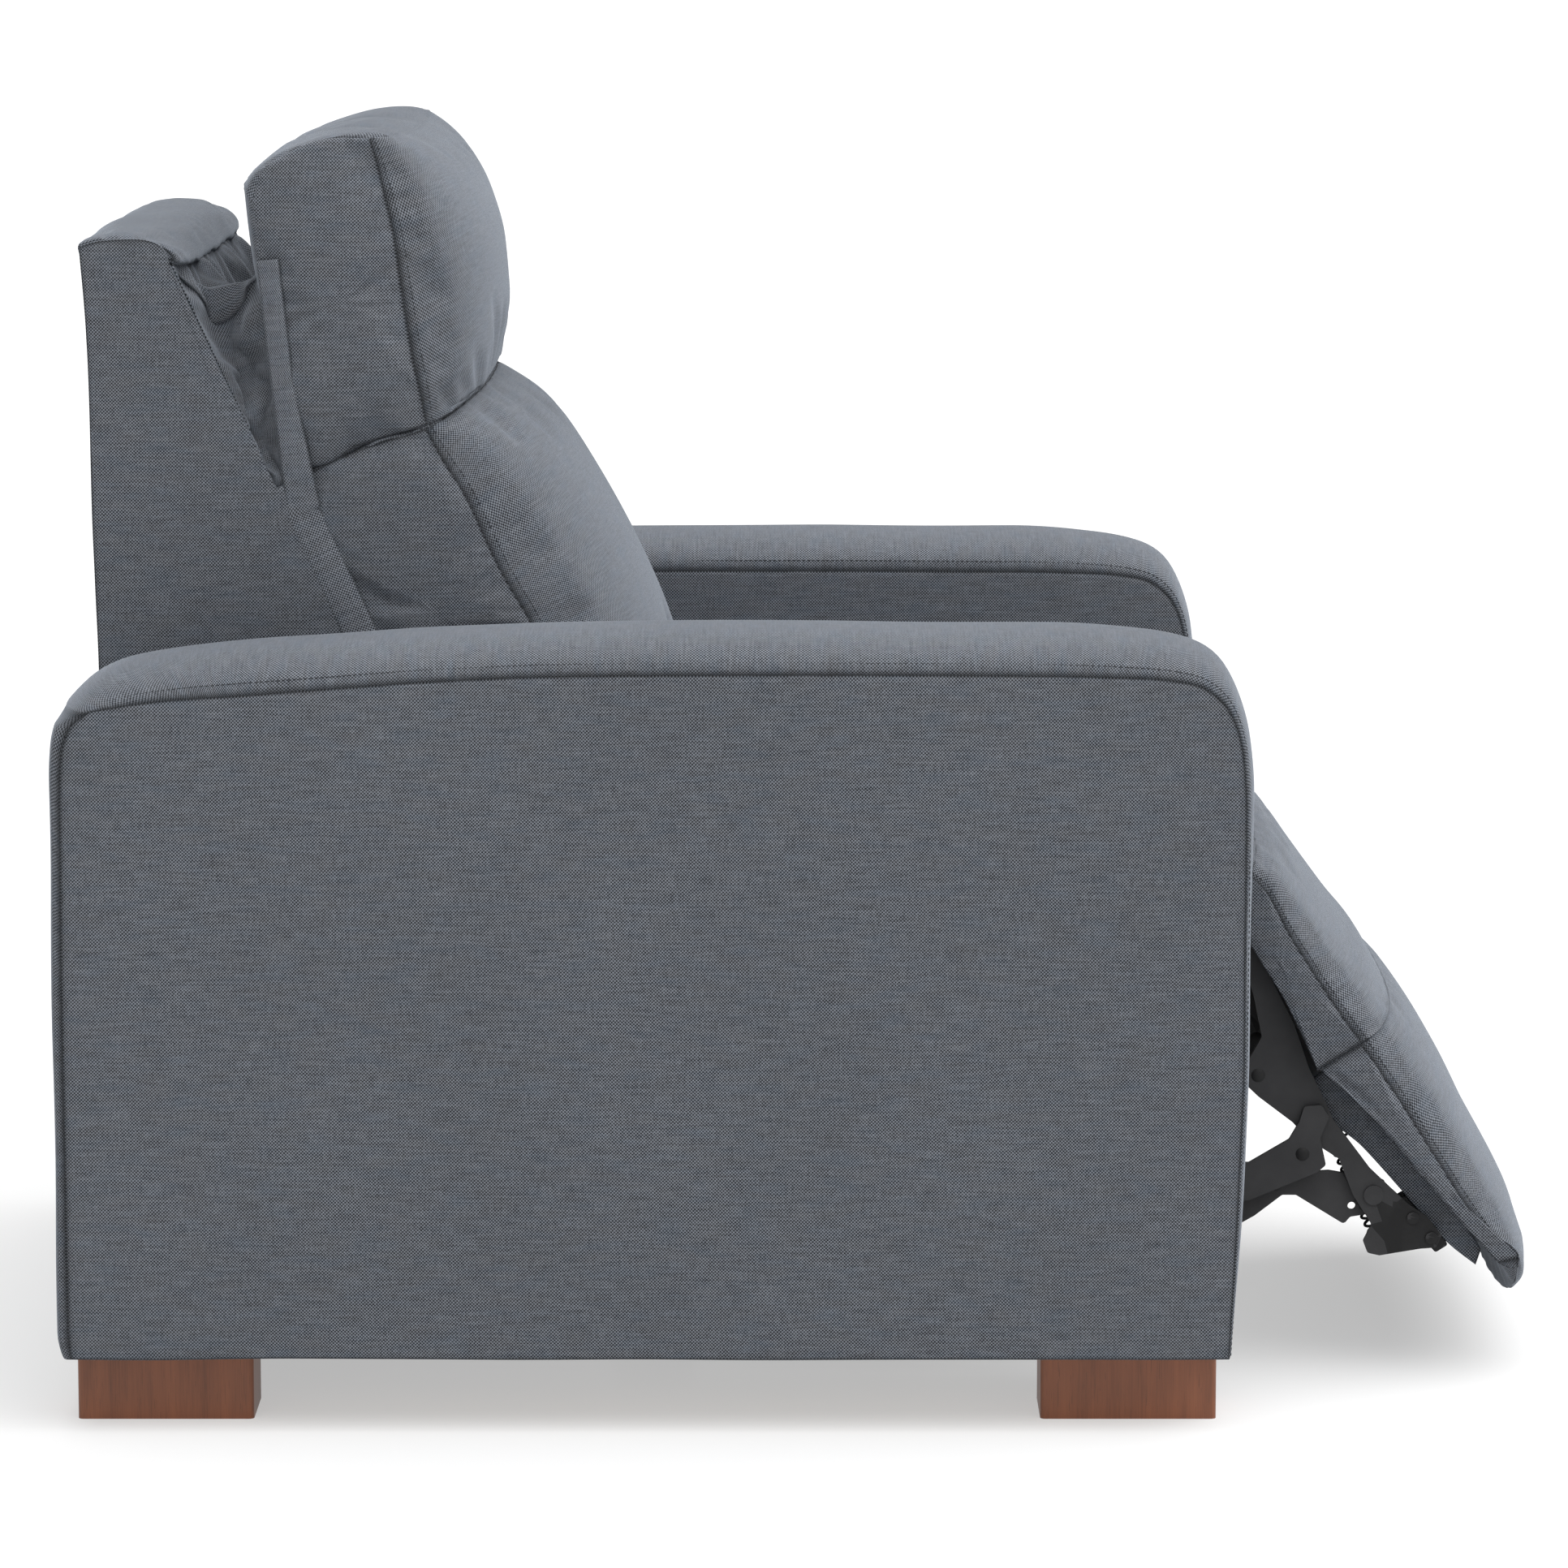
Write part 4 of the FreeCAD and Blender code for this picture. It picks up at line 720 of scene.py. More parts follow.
ARM_MIDDLE = 350.0
ARM_HALF = 80.0
ARM_SEAM_DEPTH = 1.4
ARM_TOP = [((34, 566), (10, 565)), ((60, 570), (32, 586)), ((91, 574), (60, 598)), ((150, 578), (153, 611)),
           ((215, 583), (215, 615)), ((300, 589), (300, 620.5)), ((401, 593), (401, 624.5)),
           ((587, 594), (587, 625)), ((773, 593), (773, 623.5)), ((840, 591.5), (847, 618)),
           ((880, 587), (884, 610)), ((900, 575), (904, 598)), ((912, 556), (918, 574)),
           ((918, 530), (926, 545)), ((920.5, 490), (929.5, 502)), ((921, 400), (929, 400)),
           ((921, 299), (928, 299)), ((918, 200), (925, 200)), ((912, 62), (915, 60))]
ARM_UNDER = level([(912, 58.5), (13, 58.5)])
ARM_REAR = [((13, 59), (4.5, 58)), ((11, 69), (-0.5, 69)), ((10, 300), (0, 300)), ((11, 500), (0.5, 514)),
            ((14, 540), (3, 545)), ((22, 557), (6, 556))]


def make_arm(word, sign, seed):
    panels = [(2.3, True, ARM_TOP), (6.0, False, ARM_UNDER), (5.0, False, ARM_REAR)]
    form = SoftForm("arm_upholstery_" + word, panels, ARM_HALF, step=16.0, middle_x=sign * ARM_MIDDLE,
                    stations=26, bulge=2.0)
    piece = form.make()
    carve_seams(piece, ARM_SEAM_DEPTH)
    top_rows = form.panel_of.count(0)
    for ring in (STITCH_RING + 1, form.rings - 2 - STITCH_RING):
        sew("base", [piece.data.vertices[ring * form.count + row].co for row in range(top_rows)])
    ruffle(piece, size=130.0, depth=1.6, seed=seed)
    dress(piece, "base", ["arm_cover_" + word])


make_arm("right", -1, seed=8.0)
make_arm("left", 1, seed=3.0)


# Headrest: a boxed cushion tipped forward on its hinge, its points forward of the hinge and up from it

HINGE = (177.0, 697.0)
HEAD_LEAN = 6.2
HEAD_HALF = 262.0
HEAD_REAR = [((1, 37), (-1, 40)), ((0.5, 60), (-1, 60)), ((0.5, 150), (-2, 150)), ((0.5, 178), (-9, 178)),
             ((0.5, 205), (-13, 205)), ((0, 228), (-13, 236)), ((1, 250), (-13, 266))]
HEAD_TOP = [HEAD_REAR[-1], ((9, 270), (2, 278)), ((32, 285), (38, 287)), ((62, 293), (80, 292)),
            ((80, 292), (106, 291.5)), ((97, 289), (124, 288.5))]
HEAD_FACE = [HEAD_TOP[-1], ((99, 278), (137, 281)), ((101, 262), (149, 266)),
             ((107, 206), (167, 226)), ((108, 160), (174, 183)), ((110, 116), (173, 144)),
             ((113, 85), (169, 112)), ((115, 61), (158, 80))]
HEAD_BASE = [HEAD_FACE[-1], ((59, 50.5), (80, 58)), ((31, 38.5), (36, 40)), HEAD_REAR[0]]


def make_headrest():
    panels = [(2.7, False, HEAD_REAR), (3.2, False, HEAD_TOP), (2.4, False, HEAD_FACE),
              (3.0, True, HEAD_BASE)]
    form = SoftForm("headrest_pad", panels, HEAD_HALF, turn=HEAD_LEAN, pivot=HINGE, bulge=8.0,
                    side_panels=(2, 3))
    finish_soft(form, "headrest", ["headrest_cushion"], fill=0.8, hold_panels=(0,), cap=4.0, pressure=2.5)


make_headrest()


# Lumbar cushion: the inside back below the headrest

LUMBAR_HALF = 263.0
LUMBAR_REAR = level([(300, 473), (262, 560), (222, 640), (192, 704), (182, 726)])
LUMBAR_TOP = [LUMBAR_REAR[-1], ((196, 735), (202, 738)), ((232, 751.5), (246, 758)),
              ((284, 767.5), (326, 791))]
LUMBAR_FACE = [LUMBAR_TOP[-1], ((297, 743), (351, 781)), ((311, 721), (375, 755)),
               ((341, 657), (410, 702)), ((371, 604), (448, 630)), ((388, 566), (468, 581)),
               ((402, 525), (478, 545)), ((410, 482), (472, 500))]
LUMBAR_BASE = [LUMBAR_FACE[-1], ((405, 476), (455, 483)), ((360, 474), (380, 474)), LUMBAR_REAR[0]]


def make_lumbar():
    panels = [(3.0, False, LUMBAR_REAR), (2.6, True, LUMBAR_TOP), (2.3, True, LUMBAR_FACE),
              (3.0, True, LUMBAR_BASE)]
    form = SoftForm("lumbar_pad", panels, LUMBAR_HALF, bulge=1.5, side_panels=(1, 2, 3))
    finish_soft(form, "back", ["lumbar_cushion"], fill=0.8, rows=(1,), hold_panels=(0, 3), cap=4.0,
                pressure=2.5)


make_lumbar()


# Seat cushion, its crown highest in the middle

SEAT_HALF = 261.0
SEAT_REAR = [((338, 444), (336, 444)), ((336, 470), (332, 474)), ((340, 496), (336, 500)),
             ((350, 507), (352, 511))]
SEAT_TOP = [SEAT_REAR[-1], ((470, 508), (470, 518)), ((600, 508), (600, 521)),
            ((740, 507), (740, 519)), ((812, 503), (818, 512))]
SEAT_FRONT = [SEAT_TOP[-1], ((834, 492), (842, 500)), ((841, 470), (848, 476)),
              ((842, 444), (845, 444))]
SEAT_BASE = level([(842, 443.6), (600, 443.4), (338, 443.6)])


def make_seat():
    panels = [(3.0, False, SEAT_REAR), (2.6, False, SEAT_TOP), (3.0, True, SEAT_FRONT),
              (4.0, False, SEAT_BASE)]
    form = SoftForm("seat_pad", panels, SEAT_HALF, bulge=0.5)
    finish_soft(form, "base", ["seat_cushion"], fill=0.8, rows=(0,), sides=False, hold_panels=(3,), cap=6.0,
                pressure=3.0)


make_seat()


# Footrest pads and board: points are out from the linkage's pivot and up along the leaning board

FOOT_LEAN = 32.3
FOOT_PIVOT = (1040.0, 148.26)
PAD_HALF = 258.0
UPPER_REAR = level([(16, 114.5), (21, 152), (24, 186), (24, 262)])
UPPER_TOP = [UPPER_REAR[-1], ((28, 280), (30, 284)), ((42, 286), (54, 292)), ((53, 278), (74, 290))]
UPPER_FACE = [UPPER_TOP[-1], ((57, 258), (86, 276)), ((54, 217), (89, 226)), ((54, 182), (93, 172)),
              ((55, 140), (97, 140)), ((57, 114.5), (97, 114.5))]
UPPER_BASE = [UPPER_FACE[-1], ((36, 114.4), (56, 114.4)), UPPER_REAR[0]]
LOWER_REAR = [((18, 113.6), (18, 113.6)), ((31, 80), (31, 80)), ((36, 40), (36, 40)), ((43, -12), (43, -12)),
              ((50, -60), (50, -60)), ((57, -98), (56, -102))]
LOWER_TOE = [LOWER_REAR[-1], ((62, -99), (50, -124)), ((72, -102), (42, -144))]
LOWER_LIP = [LOWER_TOE[-1], ((74, -98), (60, -143)), ((72, -90), (76, -132)),
             ((66, -82), (86, -110))]
LOWER_FACE = [LOWER_LIP[-1], ((60, -58), (93, -78)), ((58, -24), (97, -16)),
              ((58, 13), (101.5, 28)), ((58, 60), (102.5, 61)), ((57, 90), (101, 95)),
              ((56, 113.6), (98, 113.6))]
LOWER_TOP = [LOWER_FACE[-1], ((36, 113.7), (56, 113.7)), LOWER_REAR[0]]


def make_pad(name, node, panels, held):
    """A pad of the footrest, held at its rear face and where it meets the other pad."""
    form = SoftForm(name, panels, PAD_HALF, turn=FOOT_LEAN, pivot=FOOT_PIVOT, bulge=3.0)
    finish_soft(form, "footrest", [node], fill=0.75, hold_panels=held, cap=1.5, pressure=1.5)


make_pad("upper_footrest_pad", "upper_pad",
         [(4.0, False, UPPER_REAR), (2.8, False, UPPER_TOP), (2.6, True, UPPER_FACE),
          (3.0, False, UPPER_BASE)], held=(0, 3))
make_pad("lower_footrest_pad", "lower_pad",
         [(4.0, False, LOWER_REAR), (2.8, True, LOWER_TOE), (2.6, True, LOWER_LIP), (2.6, False, LOWER_FACE),
          (3.0, False, LOWER_TOP)], held=(0, 4))

# The board behind the lower pad is covered in the same fabric
BOARD_HALF = 229.0
BOARD_REAR = level([(0, 104), (0, 80), (12, 37), (21, -16), (29, -68), (39, -97)])
BOARD_FRONT = level([(50, -88), (49.2, -60), (42.2, -12), (35.4, 40), (30, 80), (18, 106)])
BOARD_END = [BOARD_REAR[-1], BOARD_FRONT[0]]
BOARD_TOP = [BOARD_FRONT[-1], BOARD_REAR[0]]


def make_board():
    panels = [(4.0, True, BOARD_REAR), (4.0, False, BOARD_END), (4.0, True, BOARD_FRONT),
              (4.0, False, BOARD_TOP)]
    form = SoftForm("footrest_board_cover", panels, BOARD_HALF, step=12.0, turn=FOOT_LEAN, pivot=FOOT_PIVOT,
                    stations=24, bulge=0.8)
    finish_soft(form, "footrest", ["footrest_board"], fill=0.3, sides=False)


make_board()


# Outer back: a padded wedge each side, the rear panel between them, and the soft roll on top

BACK_LEAN = math.radians(24.6)


def back_place(out, up):
    """Forward and height of a place given along the leaning line through the headrest's hinge."""
    return (HINGE[0] + out * math.cos(BACK_LEAN) - up * math.sin(BACK_LEAN),
            HINGE[1] + out * math.sin(BACK_LEAN) + up * math.cos(BACK_LEAN))


BACK_REAR = [(24, 410), (24, 581), (22.5, 645), (21, 697), (20, 773), (18, 850), (14, 911)]
BACK_TOP = [BACK_REAR[-1], (30, 915.5), (58, 917), (75, 914), (82, 907), (back_place(0, 221)[0], 898)]
BACK_WEDGE = [back_place(0, up) for up in (221, 150, 80, 26)]
BACK_FRONT = [back_place(20, up) for up in (26, -100, -200, -300)]
BACK_STEP = [BACK_WEDGE[-1], BACK_FRONT[0]]
BACK_BASE = [BACK_FRONT[-1], BACK_REAR[0]]
WEDGE_MIDDLE = 256.0
WEDGE_HALF = 9.0
WEDGE_SEAM_DEPTH = 1.0


def make_wedge(word, sign, seed):
    panels = [(4.0, False, level(BACK_REAR)), (4.0, True, level(BACK_TOP)), (4.0, True, level(BACK_WEDGE)),
              (4.0, False, level(BACK_STEP)), (4.0, True, level(BACK_FRONT)), (4.0, False, level(BACK_BASE))]
    form = SoftForm("outer_back_side_" + word, panels, WEDGE_HALF, step=11.0, middle_x=sign * WEDGE_MIDDLE,
                    stations=8, bulge=1.6)
    piece = form.make()
    carve_seams(piece, WEDGE_SEAM_DEPTH)
    ruffle(piece, size=110.0, depth=1.0, seed=seed)
    dress(piece, "back", ["outer_back"])


make_wedge("right", -1, seed=1.0)
make_wedge("left", 1, seed=3.0)

REAR_HALF = 263.5
REAR_LOW = 242
REAR_HIGH = 899.5
REAR_TOP = level([(16, REAR_HIGH), (40, REAR_HIGH)])
REAR_INSIDE = level([(40, REAR_HIGH), (40, 580), (40, REAR_LOW)])
REAR_BASE = level([(40, REAR_LOW), (26, REAR_LOW)])
REAR_SKIN = [((26, REAR_LOW), (24, REAR_LOW)), ((26, 420), (24, 420)), ((26, 581), (23.5, 581)),
             ((23.5, 697), (20.5, 697)), ((22, 773), (19, 773)), ((20, 850), (17, 850)),
             ((16, REAR_HIGH), (14, REAR_HIGH))]


def make_rear():
    panels = [(3.0, True, REAR_SKIN), (3.0, True, REAR_TOP), (3.0, False, REAR_INSIDE),
              (3.0, True, REAR_BASE)]
    form = SoftForm("outer_back_rear", panels, REAR_HALF, step=16.0, stations=36, bulge=0.5)
    finish_soft(form, "back", ["outer_back"], fill=0.5, sides=False, hold_panels=(2,), cap=1.5, pressure=1.0)


make_rear()

ROLL_HALF = 262.0
ROLL_SEAM_DEPTH = 1.2
ROLL_CROWN = [((15, 900), (15, 899)), ((14, 909), (8, 913)), ((28, 914), (20, 918)),
              ((48, 916.5), (40, 920)), ((66, 915), (62, 920)), ((78, 911), (84, 915)),
              ((85, 905), (97, 906)), ((88, 901), (102, 897)), ((86, 900), (98, 892))]
ROLL_BASE = [ROLL_CROWN[-1], ((60, 900), (78, 895)), ROLL_CROWN[0]]


def make_roll():
    panels = [(3.2, True, ROLL_CROWN), (3.2, True, ROLL_BASE)]
    form = SoftForm("back_top_roll_pad", panels, ROLL_HALF, step=6.0, stations=48, bulge=1.0)
    piece = form.make()
    inflate(piece, form, hold_panels=(1,), cap=2.5, pressure=2.0)
    carve_seams(piece, ROLL_SEAM_DEPTH)
    ruffle(piece, size=90.0, depth=1.5, seed=5.0)
    dress(piece, "back", ["back_top_roll"])
    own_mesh(piece)


make_roll()


# Cloth pieces made from rows of points

def make_cloth(name, rows, finish, sewn_columns=()):
    """A sheet from rows of points (x, forward, up), with the weave laid along it."""
    grid = np.array(rows, float)
    count, width = grid.shape[:2]
    faces = [(r * width + c, r * width + c + 1, (r + 1) * width + c + 1, (r + 1) * width + c)
             for r in range(count - 1) for c in range(width - 1)]
    piece = add_mesh(name, [spot(*point) for point in grid.reshape(-1, 3)], [], faces)
    mesh = piece.data
    across = lengths_along(grid[count // 2]) * MM
    down = lengths_along(grid[:, width // 2]) * MM
    weave = mesh.uv_layers.new(name="weave")
    for loop in mesh.loops:
        row, column = divmod(loop.vertex_index, width)
        weave.data[loop.index].uv = (across[column], down[row])
    mark_seams(mesh, [float(n % width in sewn_columns) for n in range(count * width)])
    mesh.materials.append(finish)
    return piece


# Border strip between the outer back and the inside cushions, narrower and raised beside the headrest

STRIP_SIDE = 265.3
STRIP_WIDTH = 27.0
STRIP_NARROWING = 10.0
STRIP_NARROW_AT = 110.0
STRIP_LIFT = 4.5
STRIP_LIFT_AT = 40.0
STRIP_THICKNESS = 1.6
STRIP_HEIGHTS = np.linspace(-270, 204, 80)
STRIP_CROWN = ((0.0, 0.0), (0.07, 0.8), (0.25, 1.6), (0.5, 1.9), (0.75, 1.6), (0.93, 0.8), (1.0, -0.4))
# Edge columns marked as seams get painted shade: dark lines along the strip's sewn edges
STRIP_EDGES = (0, 6)
STRIP_STITCHED = (1, 5)
HEAD_TURN = math.radians(HEAD_LEAN)


def head_place(out, up):
    """Forward and height of a place given along the headrest's rear edge from its hinge."""
    return HINGE[0] + out - up * math.sin(HEAD_TURN), HINGE[1] + up * math.cos(HEAD_TURN)


def strip_rear(up):
    """Rear edge of the strip: up the leaning back, then up the headrest's own rear edge."""
    return back_place(-2.0, up) if up <= 0 else head_place(-1.5, up)


def make_strip(word, sign):
    rows = []
    for up in STRIP_HEIGHTS:
        rear, height = strip_rear(up)
        width = STRIP_WIDTH - STRIP_NARROWING * min(1.0, max(0.0, up / STRIP_NARROW_AT))
        lean = BACK_LEAN if up <= 0 else HEAD_TURN
        lift = STRIP_LIFT * min(1.0, max(0.0, up / STRIP_LIFT_AT))
        rows.append([(sign * (STRIP_SIDE + crown + lift * share), rear + share * width * math.cos(lean),
                      height + share * width * math.sin(lean)) for share, crown in STRIP_CROWN])
    piece = make_cloth("border_strip_" + word, rows, strip_fabric, sewn_columns=STRIP_EDGES)
    for column in STRIP_STITCHED:
        points = [spot(*row[column]) for row in rows]
        low = [point for point, up in zip(points, STRIP_HEIGHTS) if up <= 0]
        sew("back", low)
        sew("headrest", points[len(low):])
    refine(piece)
    thicken(piece, STRIP_THICKNESS)
    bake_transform(piece)


make_strip("right", -1)
make_strip("left", 1)


# Gusset: loose cloth from the outer back's front edges and roll, round to the headrest's rear

GUSSET_TOP = 196.0
GUSSET_SPREAD = 1.12
GUSSET_SIDE = 262.0
GUSSET_START = 0.04
GUSSET_ROWS = 30
GUSSET_ACROSS = 52
GUSSET_COLUMNS = 15
GUSSET_THICKNESS = 1.2
GUSSET_OUT = 0.5
SIDE_FALL = 6.0
SIDE_FALL_GROWTH = 34.0
SIDE_FALL_CURVE = 1.4
SIDE_DROP = 0.35
CROWN_CURVE = 3.2
CORNER_CURVE = 6
ROLL_EDGE = 900.0
ROLL_EDGE_DIP = 6.0
ROLL_EDGE_REACH = 11.0
CORNER_FALL = -30.0
TOP_FALL = -34.0
TOP_CORNER_FALL = -12.0
FOLD_DEPTH = 12.0
FOLD_PATTERN = (0.11, 2.2, 4.0)
FOLD_WAY = (0.7, 0.5, 0.7)
GUSSET_CAP = 16.0
GUSSET_FRAMES = 24


def gusset_edges():
    """Pairs of places on the outer back and on the headrest, with the way the cloth falls there."""
    pairs = []
    for sign in (-1, 1):
        side = []
        for t in np.linspace(GUSSET_START, 1.0, GUSSET_ROWS):
            back = (sign * GUSSET_SIDE, *back_place(GUSSET_OUT, t * GUSSET_TOP * GUSSET_SPREAD))
            head = (sign * (GUSSET_SIDE - 1), *head_place(0.0, t * GUSSET_TOP))
            depth = SIDE_FALL + SIDE_FALL_GROWTH * t ** SIDE_FALL_CURVE
            side.append((back, head, (-sign * depth, 0.0, -depth * SIDE_DROP * t)))
        pairs.append(side)
    over = []
    for t in np.linspace(0, 1, GUSSET_ACROSS + 2)[1:-1]:
        x = GUSSET_SIDE * (2 * t - 1)
        crown = 1.0 - abs(2 * t - 1) ** CROWN_CURVE
        corner = abs(2 * t - 1) ** CORNER_CURVE
        reach = back_place(GUSSET_OUT, GUSSET_TOP * GUSSET_SPREAD)[0] + ROLL_EDGE_REACH * crown
        back = (x, reach, ROLL_EDGE - ROLL_EDGE_DIP * crown)
        head = (x, *head_place(0.0, GUSSET_TOP))
        fall = (CORNER_FALL * corner * math.copysign(1.0, x), 0.0, TOP_FALL + TOP_CORNER_FALL * corner)
        over.append((back, head, fall))
    return pairs[0] + over + pairs[1][::-1]


def make_gusset():
    rows = []
    for number, (back, head, fall) in enumerate(gusset_edges()):
        row = []
        for share in np.linspace(0, 1, GUSSET_COLUMNS):
            hang = math.sin(math.pi * share)
            place = Vector((number * FOLD_PATTERN[0], share * FOLD_PATTERN[1], FOLD_PATTERN[2]))
            fold = noise(place) * FOLD_DEPTH * hang
            row.append([b + (h - b) * share + f * hang + fold * way
                        for b, h, f, way in zip(back, head, fall, FOLD_WAY)])
        rows.append(row)
    piece = make_cloth("back_gusset", rows, shaded_gusset_fabric)
    last = GUSSET_COLUMNS - 1
    held = [r * GUSSET_COLUMNS + c for r in range(len(rows)) for c in (0, last)]
    held += [r * GUSSET_COLUMNS + c for r in (0, len(rows) - 1) for c in range(1, last)]
    rest_cloth(piece, held, GUSSET_FRAMES, GUSSET_CAP, gravity=0.6, quality=6, shrink_min=-0.1,
               tension_stiffness=12.0, compression_stiffness=12.0, shear_stiffness=6.0,
               bending_stiffness=0.5)
    refine(piece)
    thicken(piece, GUSSET_THICKNESS)
    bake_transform(piece)


make_gusset()


# Stitches and rivets: one small shape repeated along the paths of a body or at places on it

def repeat_tree(name, shape, material, along_paths):
    """A tree that sets one small shape at every place, turned along the path where there is one."""
    tree = bpy.data.node_groups.new(name, "GeometryNodeTree")
    sizes = {}
    tree.interface.new_socket("Geometry", in_out="INPUT", socket_type="NodeSocketGeometry")
    for title in ("Pitch", "Long", "Wide") if along_paths else ("Long", "Wide"):
        sizes[title] = tree.interface.new_socket(title, in_out="INPUT", socket_type="NodeSocketFloat")
    tree.interface.new_socket("Geometry", in_out="OUTPUT", socket_type="NodeSocketGeometry")

    work = Nodes(tree)
    given = work.add("NodeGroupInput").outputs
    places = given["Geometry"]
    scale = work.add("ShaderNodeCombineXYZ", {"X": given["Wide"], "Y": given["Wide"], "Z": given["Long"]})
    way = (1.0, 0.0, 0.0)
    if along_paths:
        curve = work.add("GeometryNodeMeshToCurve", {"Mesh": places})
        spaced = work.add("GeometryNodeResampleCurve", {"Curve": curve.outputs[0], "Length": given["Pitch"]},
                          mode="LENGTH")
        places = spaced.outputs[0]
        way = work.add("GeometryNodeInputTangent").outputs[0]
    turn = work.add("FunctionNodeAlignRotationToVector", {"Vector": way}, axis="Z")
    small = work.add("GeometryNodeMeshUVSphere", {"Segments": shape[0], "Rings": shape[1], "Radius": 0.5})
    copies = work.add("GeometryNodeInstanceOnPoints",
                      {"Points": places, "Instance": small.outputs[0], "Rotation": turn.outputs[0],
                       "Scale": scale.outputs[0]})
    solid = work.add("GeometryNodeRealizeInstances", {"Geometry": copies.outputs[0]})
    painted = work.add("GeometryNodeSetMaterial", {"Geometry": solid.outputs[0], "Material": material})
    work.add("NodeGroupOutput", {"Geometry": painted.outputs[0]})
    return tree, sizes


def repeat(name, body, points, edges, tree_and_sizes, slot, **values):
    """Make the copies at points or along edges, as one plain mesh that rides on the body."""
    tree, sizes = tree_and_sizes
    holder = add_mesh(name, points, edges, [])
    modifier = holder.modifiers.new("repeat", "NODES")
    modifier.node_group = tree
    for title, value in values.items():
        modifier[sizes[title].identifier] = value
    settle(holder)
    holder.data.shade_smooth()
    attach(holder, body)


STITCH_PITCH = 0.0042
STITCH_LONG = 0.0032
STITCH_WIDE = 0.0009
stitch_tree = repeat_tree("stitches", shape=(6, 4), material=thread, along_paths=True)
for body, paths in seam_paths.items():
    points, edges = [], []
    for path in paths:
        start = len(points)
        points += path
        edges += [(start + n, start + n + 1) for n in range(len(path) - 1)]
    repeat("stitches_" + body, body, points, edges, stitch_tree, "upholstery",
           Pitch=STITCH_PITCH, Long=STITCH_LONG, Wide=STITCH_WIDE)

# Rivet heads on the links and brackets of both sides: (across, forward, up)
RIVET_HIGH = 0.0072
RIVET_WIDE = 0.014
RIVETS = {"inner_links": (246.0, 982.0, 183.0), "ottoman_links": (234.0, 962.0, 156.0),
          "footrest": (240.0, 946.1, 246.2)}
rivet_tree = repeat_tree("rivets", shape=(16, 8), material=black_steel, along_paths=False)
for body, (across, forward, up) in RIVETS.items():
    points = [spot(sign * across, forward, up) for sign in (-1, 1)]
    repeat("rivets_" + body, body, points, [], rivet_tree, "black_steel", Long=RIVET_HIGH, Wide=RIVET_WIDE)


# Camera at the photograph's viewing angle

FOCAL_PIXELS = 7617.0
PHOTO_PIXELS = 1932.0
SENSOR = 36.0
CAMERA_DISTANCE = 5.11
CAMERA_FORWARD = 565.9
CAMERA_HEIGHT = 1.2116
CAMERA_TILT = math.radians(8.519)
camera_data = bpy.data.cameras.new("camera")
camera_data.sensor_width = SENSOR
camera_data.lens = FOCAL_PIXELS / PHOTO_PIXELS * SENSOR
camera_data.clip_end = 200.0
camera = add_object("camera", camera_data)
camera.location = (-CAMERA_DISTANCE, (HALF_LENGTH - CAMERA_FORWARD) * MM, CAMERA_HEIGHT)
camera.rotation_euler = (math.pi / 2 - CAMERA_TILT, 0.0, -math.pi / 2)
scene.camera = camera


# Floor, lights and surroundings

WHITE = (1.0, 1.0, 1.0, 1.0)
FLOOR_EDGE = 60.0
FLOOR_BOUNCE = (0.55, 0.55, 0.55, 1.0)
FLOOR_SEEN = (0.45, 0.45, 0.45, 1.0)
FLOOR_WHITE = 0.46
FILL_STRENGTH = 0.39
SEEN_RAYS = ("Is Camera Ray", "Is Glossy Ray", "Is Transmission Ray")


def seen_share(work):
    """One where the camera, a reflection or a transmitted ray looks, and nothing for other light."""
    rays = work.add("ShaderNodeLightPath").outputs
    shown = rays[SEEN_RAYS[0]]
    for kind in SEEN_RAYS[1:]:
        shown = work.math("MAXIMUM", shown, rays[kind])
    return shown


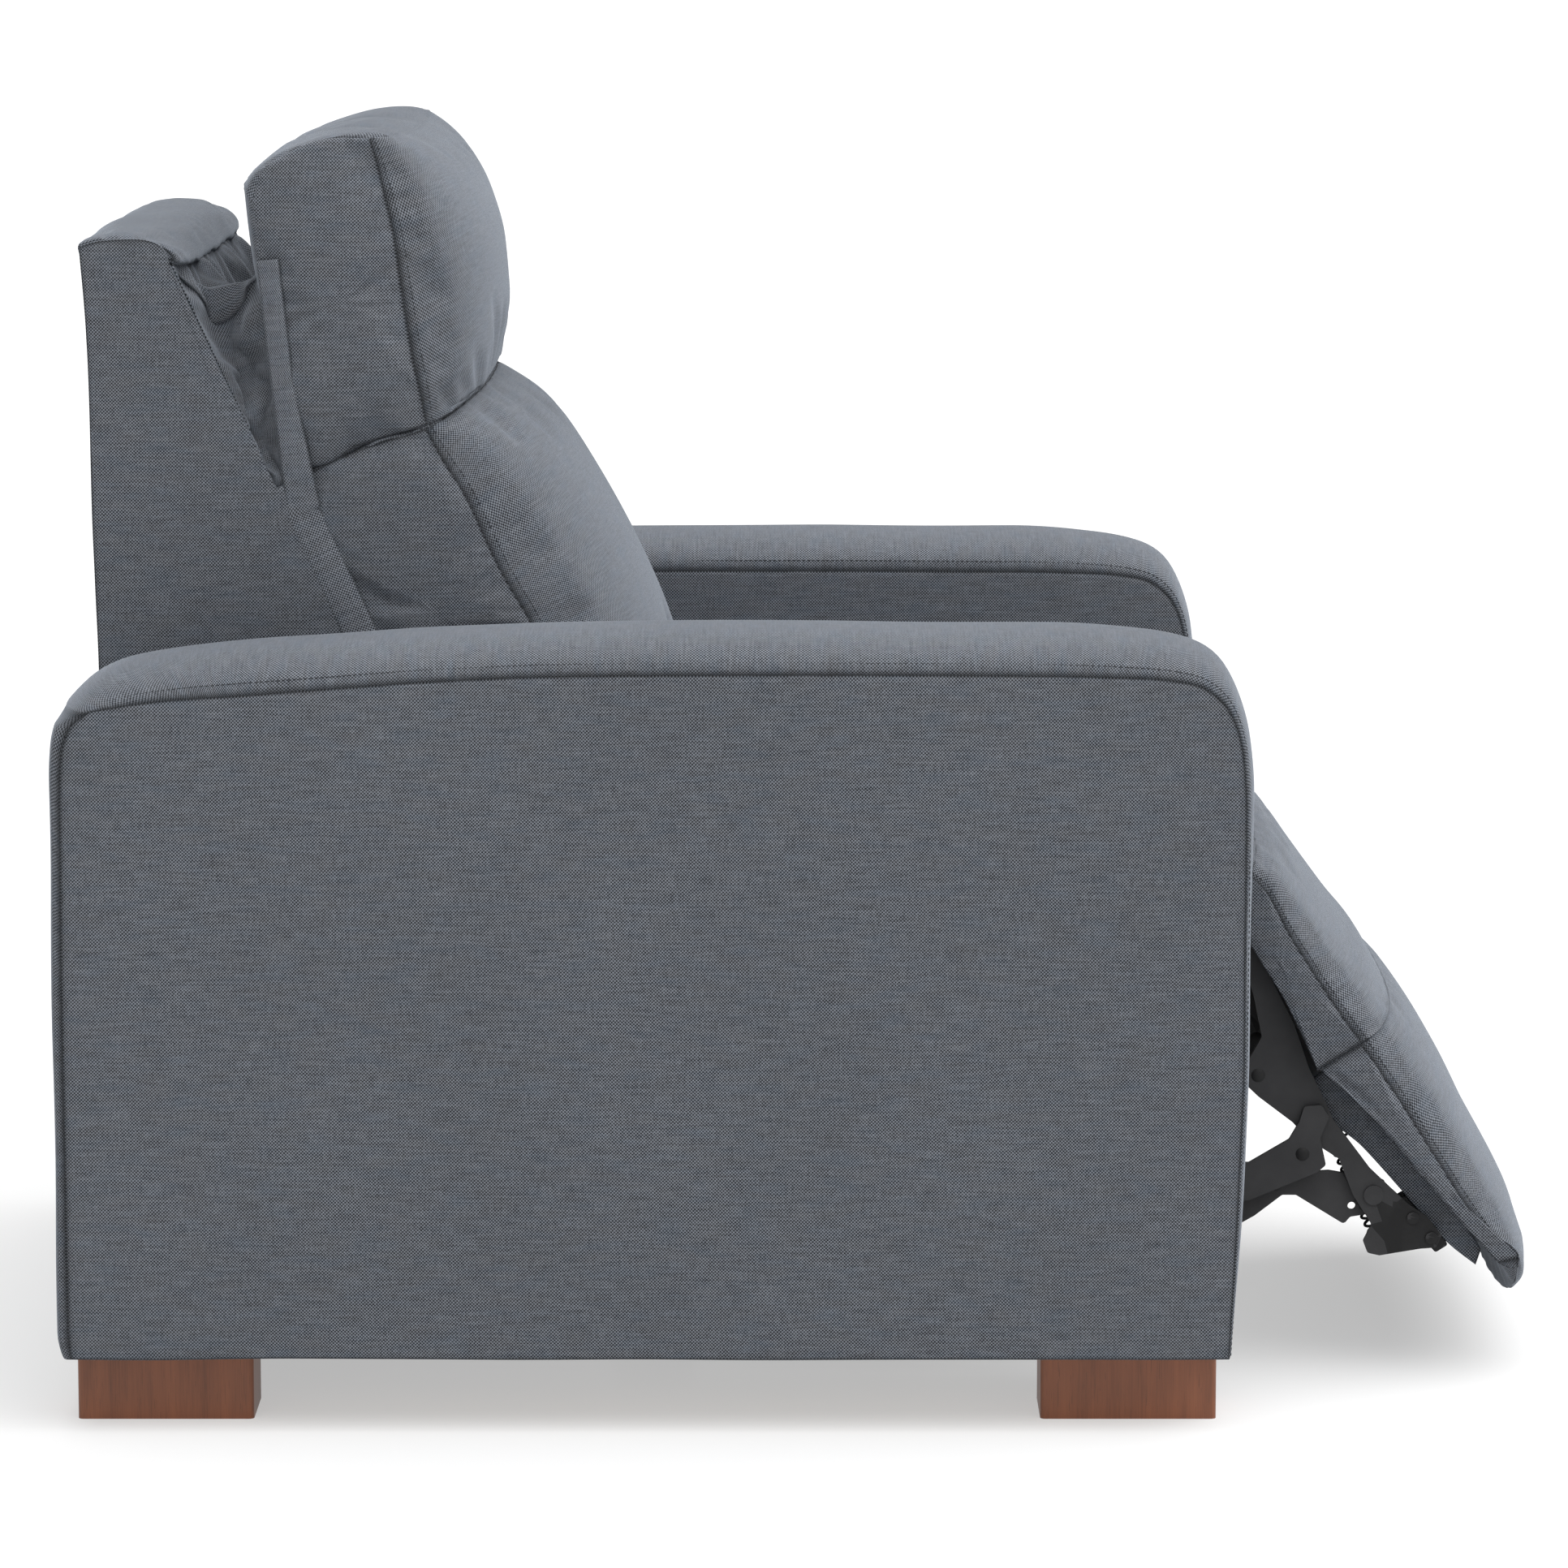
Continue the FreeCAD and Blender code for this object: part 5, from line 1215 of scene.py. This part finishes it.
def make_floor():
    corners = [(x * FLOOR_EDGE, y * FLOOR_EDGE, 0) for x, y in ((-1, -1), (1, -1), (1, 1), (-1, 1))]
    floor = add_mesh("floor", corners, [], [(0, 1, 2, 3)])
    shader = Shader("studio floor")
    seen = seen_share(shader)
    floor.data.materials.append(shader.finish({
        "Base Color": shader.mix(seen, FLOOR_BOUNCE, FLOOR_SEEN), "Roughness": 1.0,
        "Specular IOR Level": 0.0, "Emission Color": WHITE,
        "Emission Strength": shader.math("MULTIPLY", seen, FLOOR_WHITE)}))


def make_lamp(name, strength, spread, elevation, azimuth):
    """Soft light from a direction: azimuth 0 is from the front of the chair, 90 from its right."""
    data = bpy.data.lights.new(name, "SUN")
    data.energy = strength
    data.angle = math.radians(spread)
    lamp = add_object(name, data)
    lift = math.radians(elevation)
    swing = math.radians(azimuth)
    source = Vector((-math.cos(lift) * math.sin(swing), -math.cos(lift) * math.cos(swing), math.sin(lift)))
    lamp.rotation_euler = source.to_track_quat("Z", "Y").to_euler()


def make_surroundings():
    """White where they are seen, and a weaker fill where they light the chair."""
    world = bpy.data.worlds.new("studio")
    scene.world = world
    world.use_nodes = True
    work = Nodes(world.node_tree)
    backdrop = work.tree.nodes["Background"]
    work.give(backdrop, "Color", WHITE)
    work.give(backdrop, "Strength", 1.0)
    fill_light = work.add("ShaderNodeBackground", {"Strength": FILL_STRENGTH})
    choose = work.add("ShaderNodeMixShader", {0: seen_share(work), 1: fill_light.outputs[0],
                                              2: backdrop.outputs[0]})
    work.give(work.tree.nodes["World Output"], "Surface", choose.outputs[0])


make_floor()
make_lamp("overhead softbox", strength=4.15, spread=84.0, elevation=70.0, azimuth=20.0)
make_lamp("side softbox", strength=0.36, spread=50.0, elevation=25.0, azimuth=110.0)
make_surroundings()
scene.view_settings.view_transform = "Standard"


# Finishes of the solids that keep their own shape

slot_of = {part["node"]: part["material_slot"] for part in frame["record"]["subparts"]}
for name, node in nodes.items():
    finish = SLOT_MATERIALS[slot_of[name]]
    if name.startswith("button_"):
        finish = button_plastic
    if name == "rear_panel":
        finish = panel_fabric
    node.data.materials.clear()
    node.data.materials.append(finish)
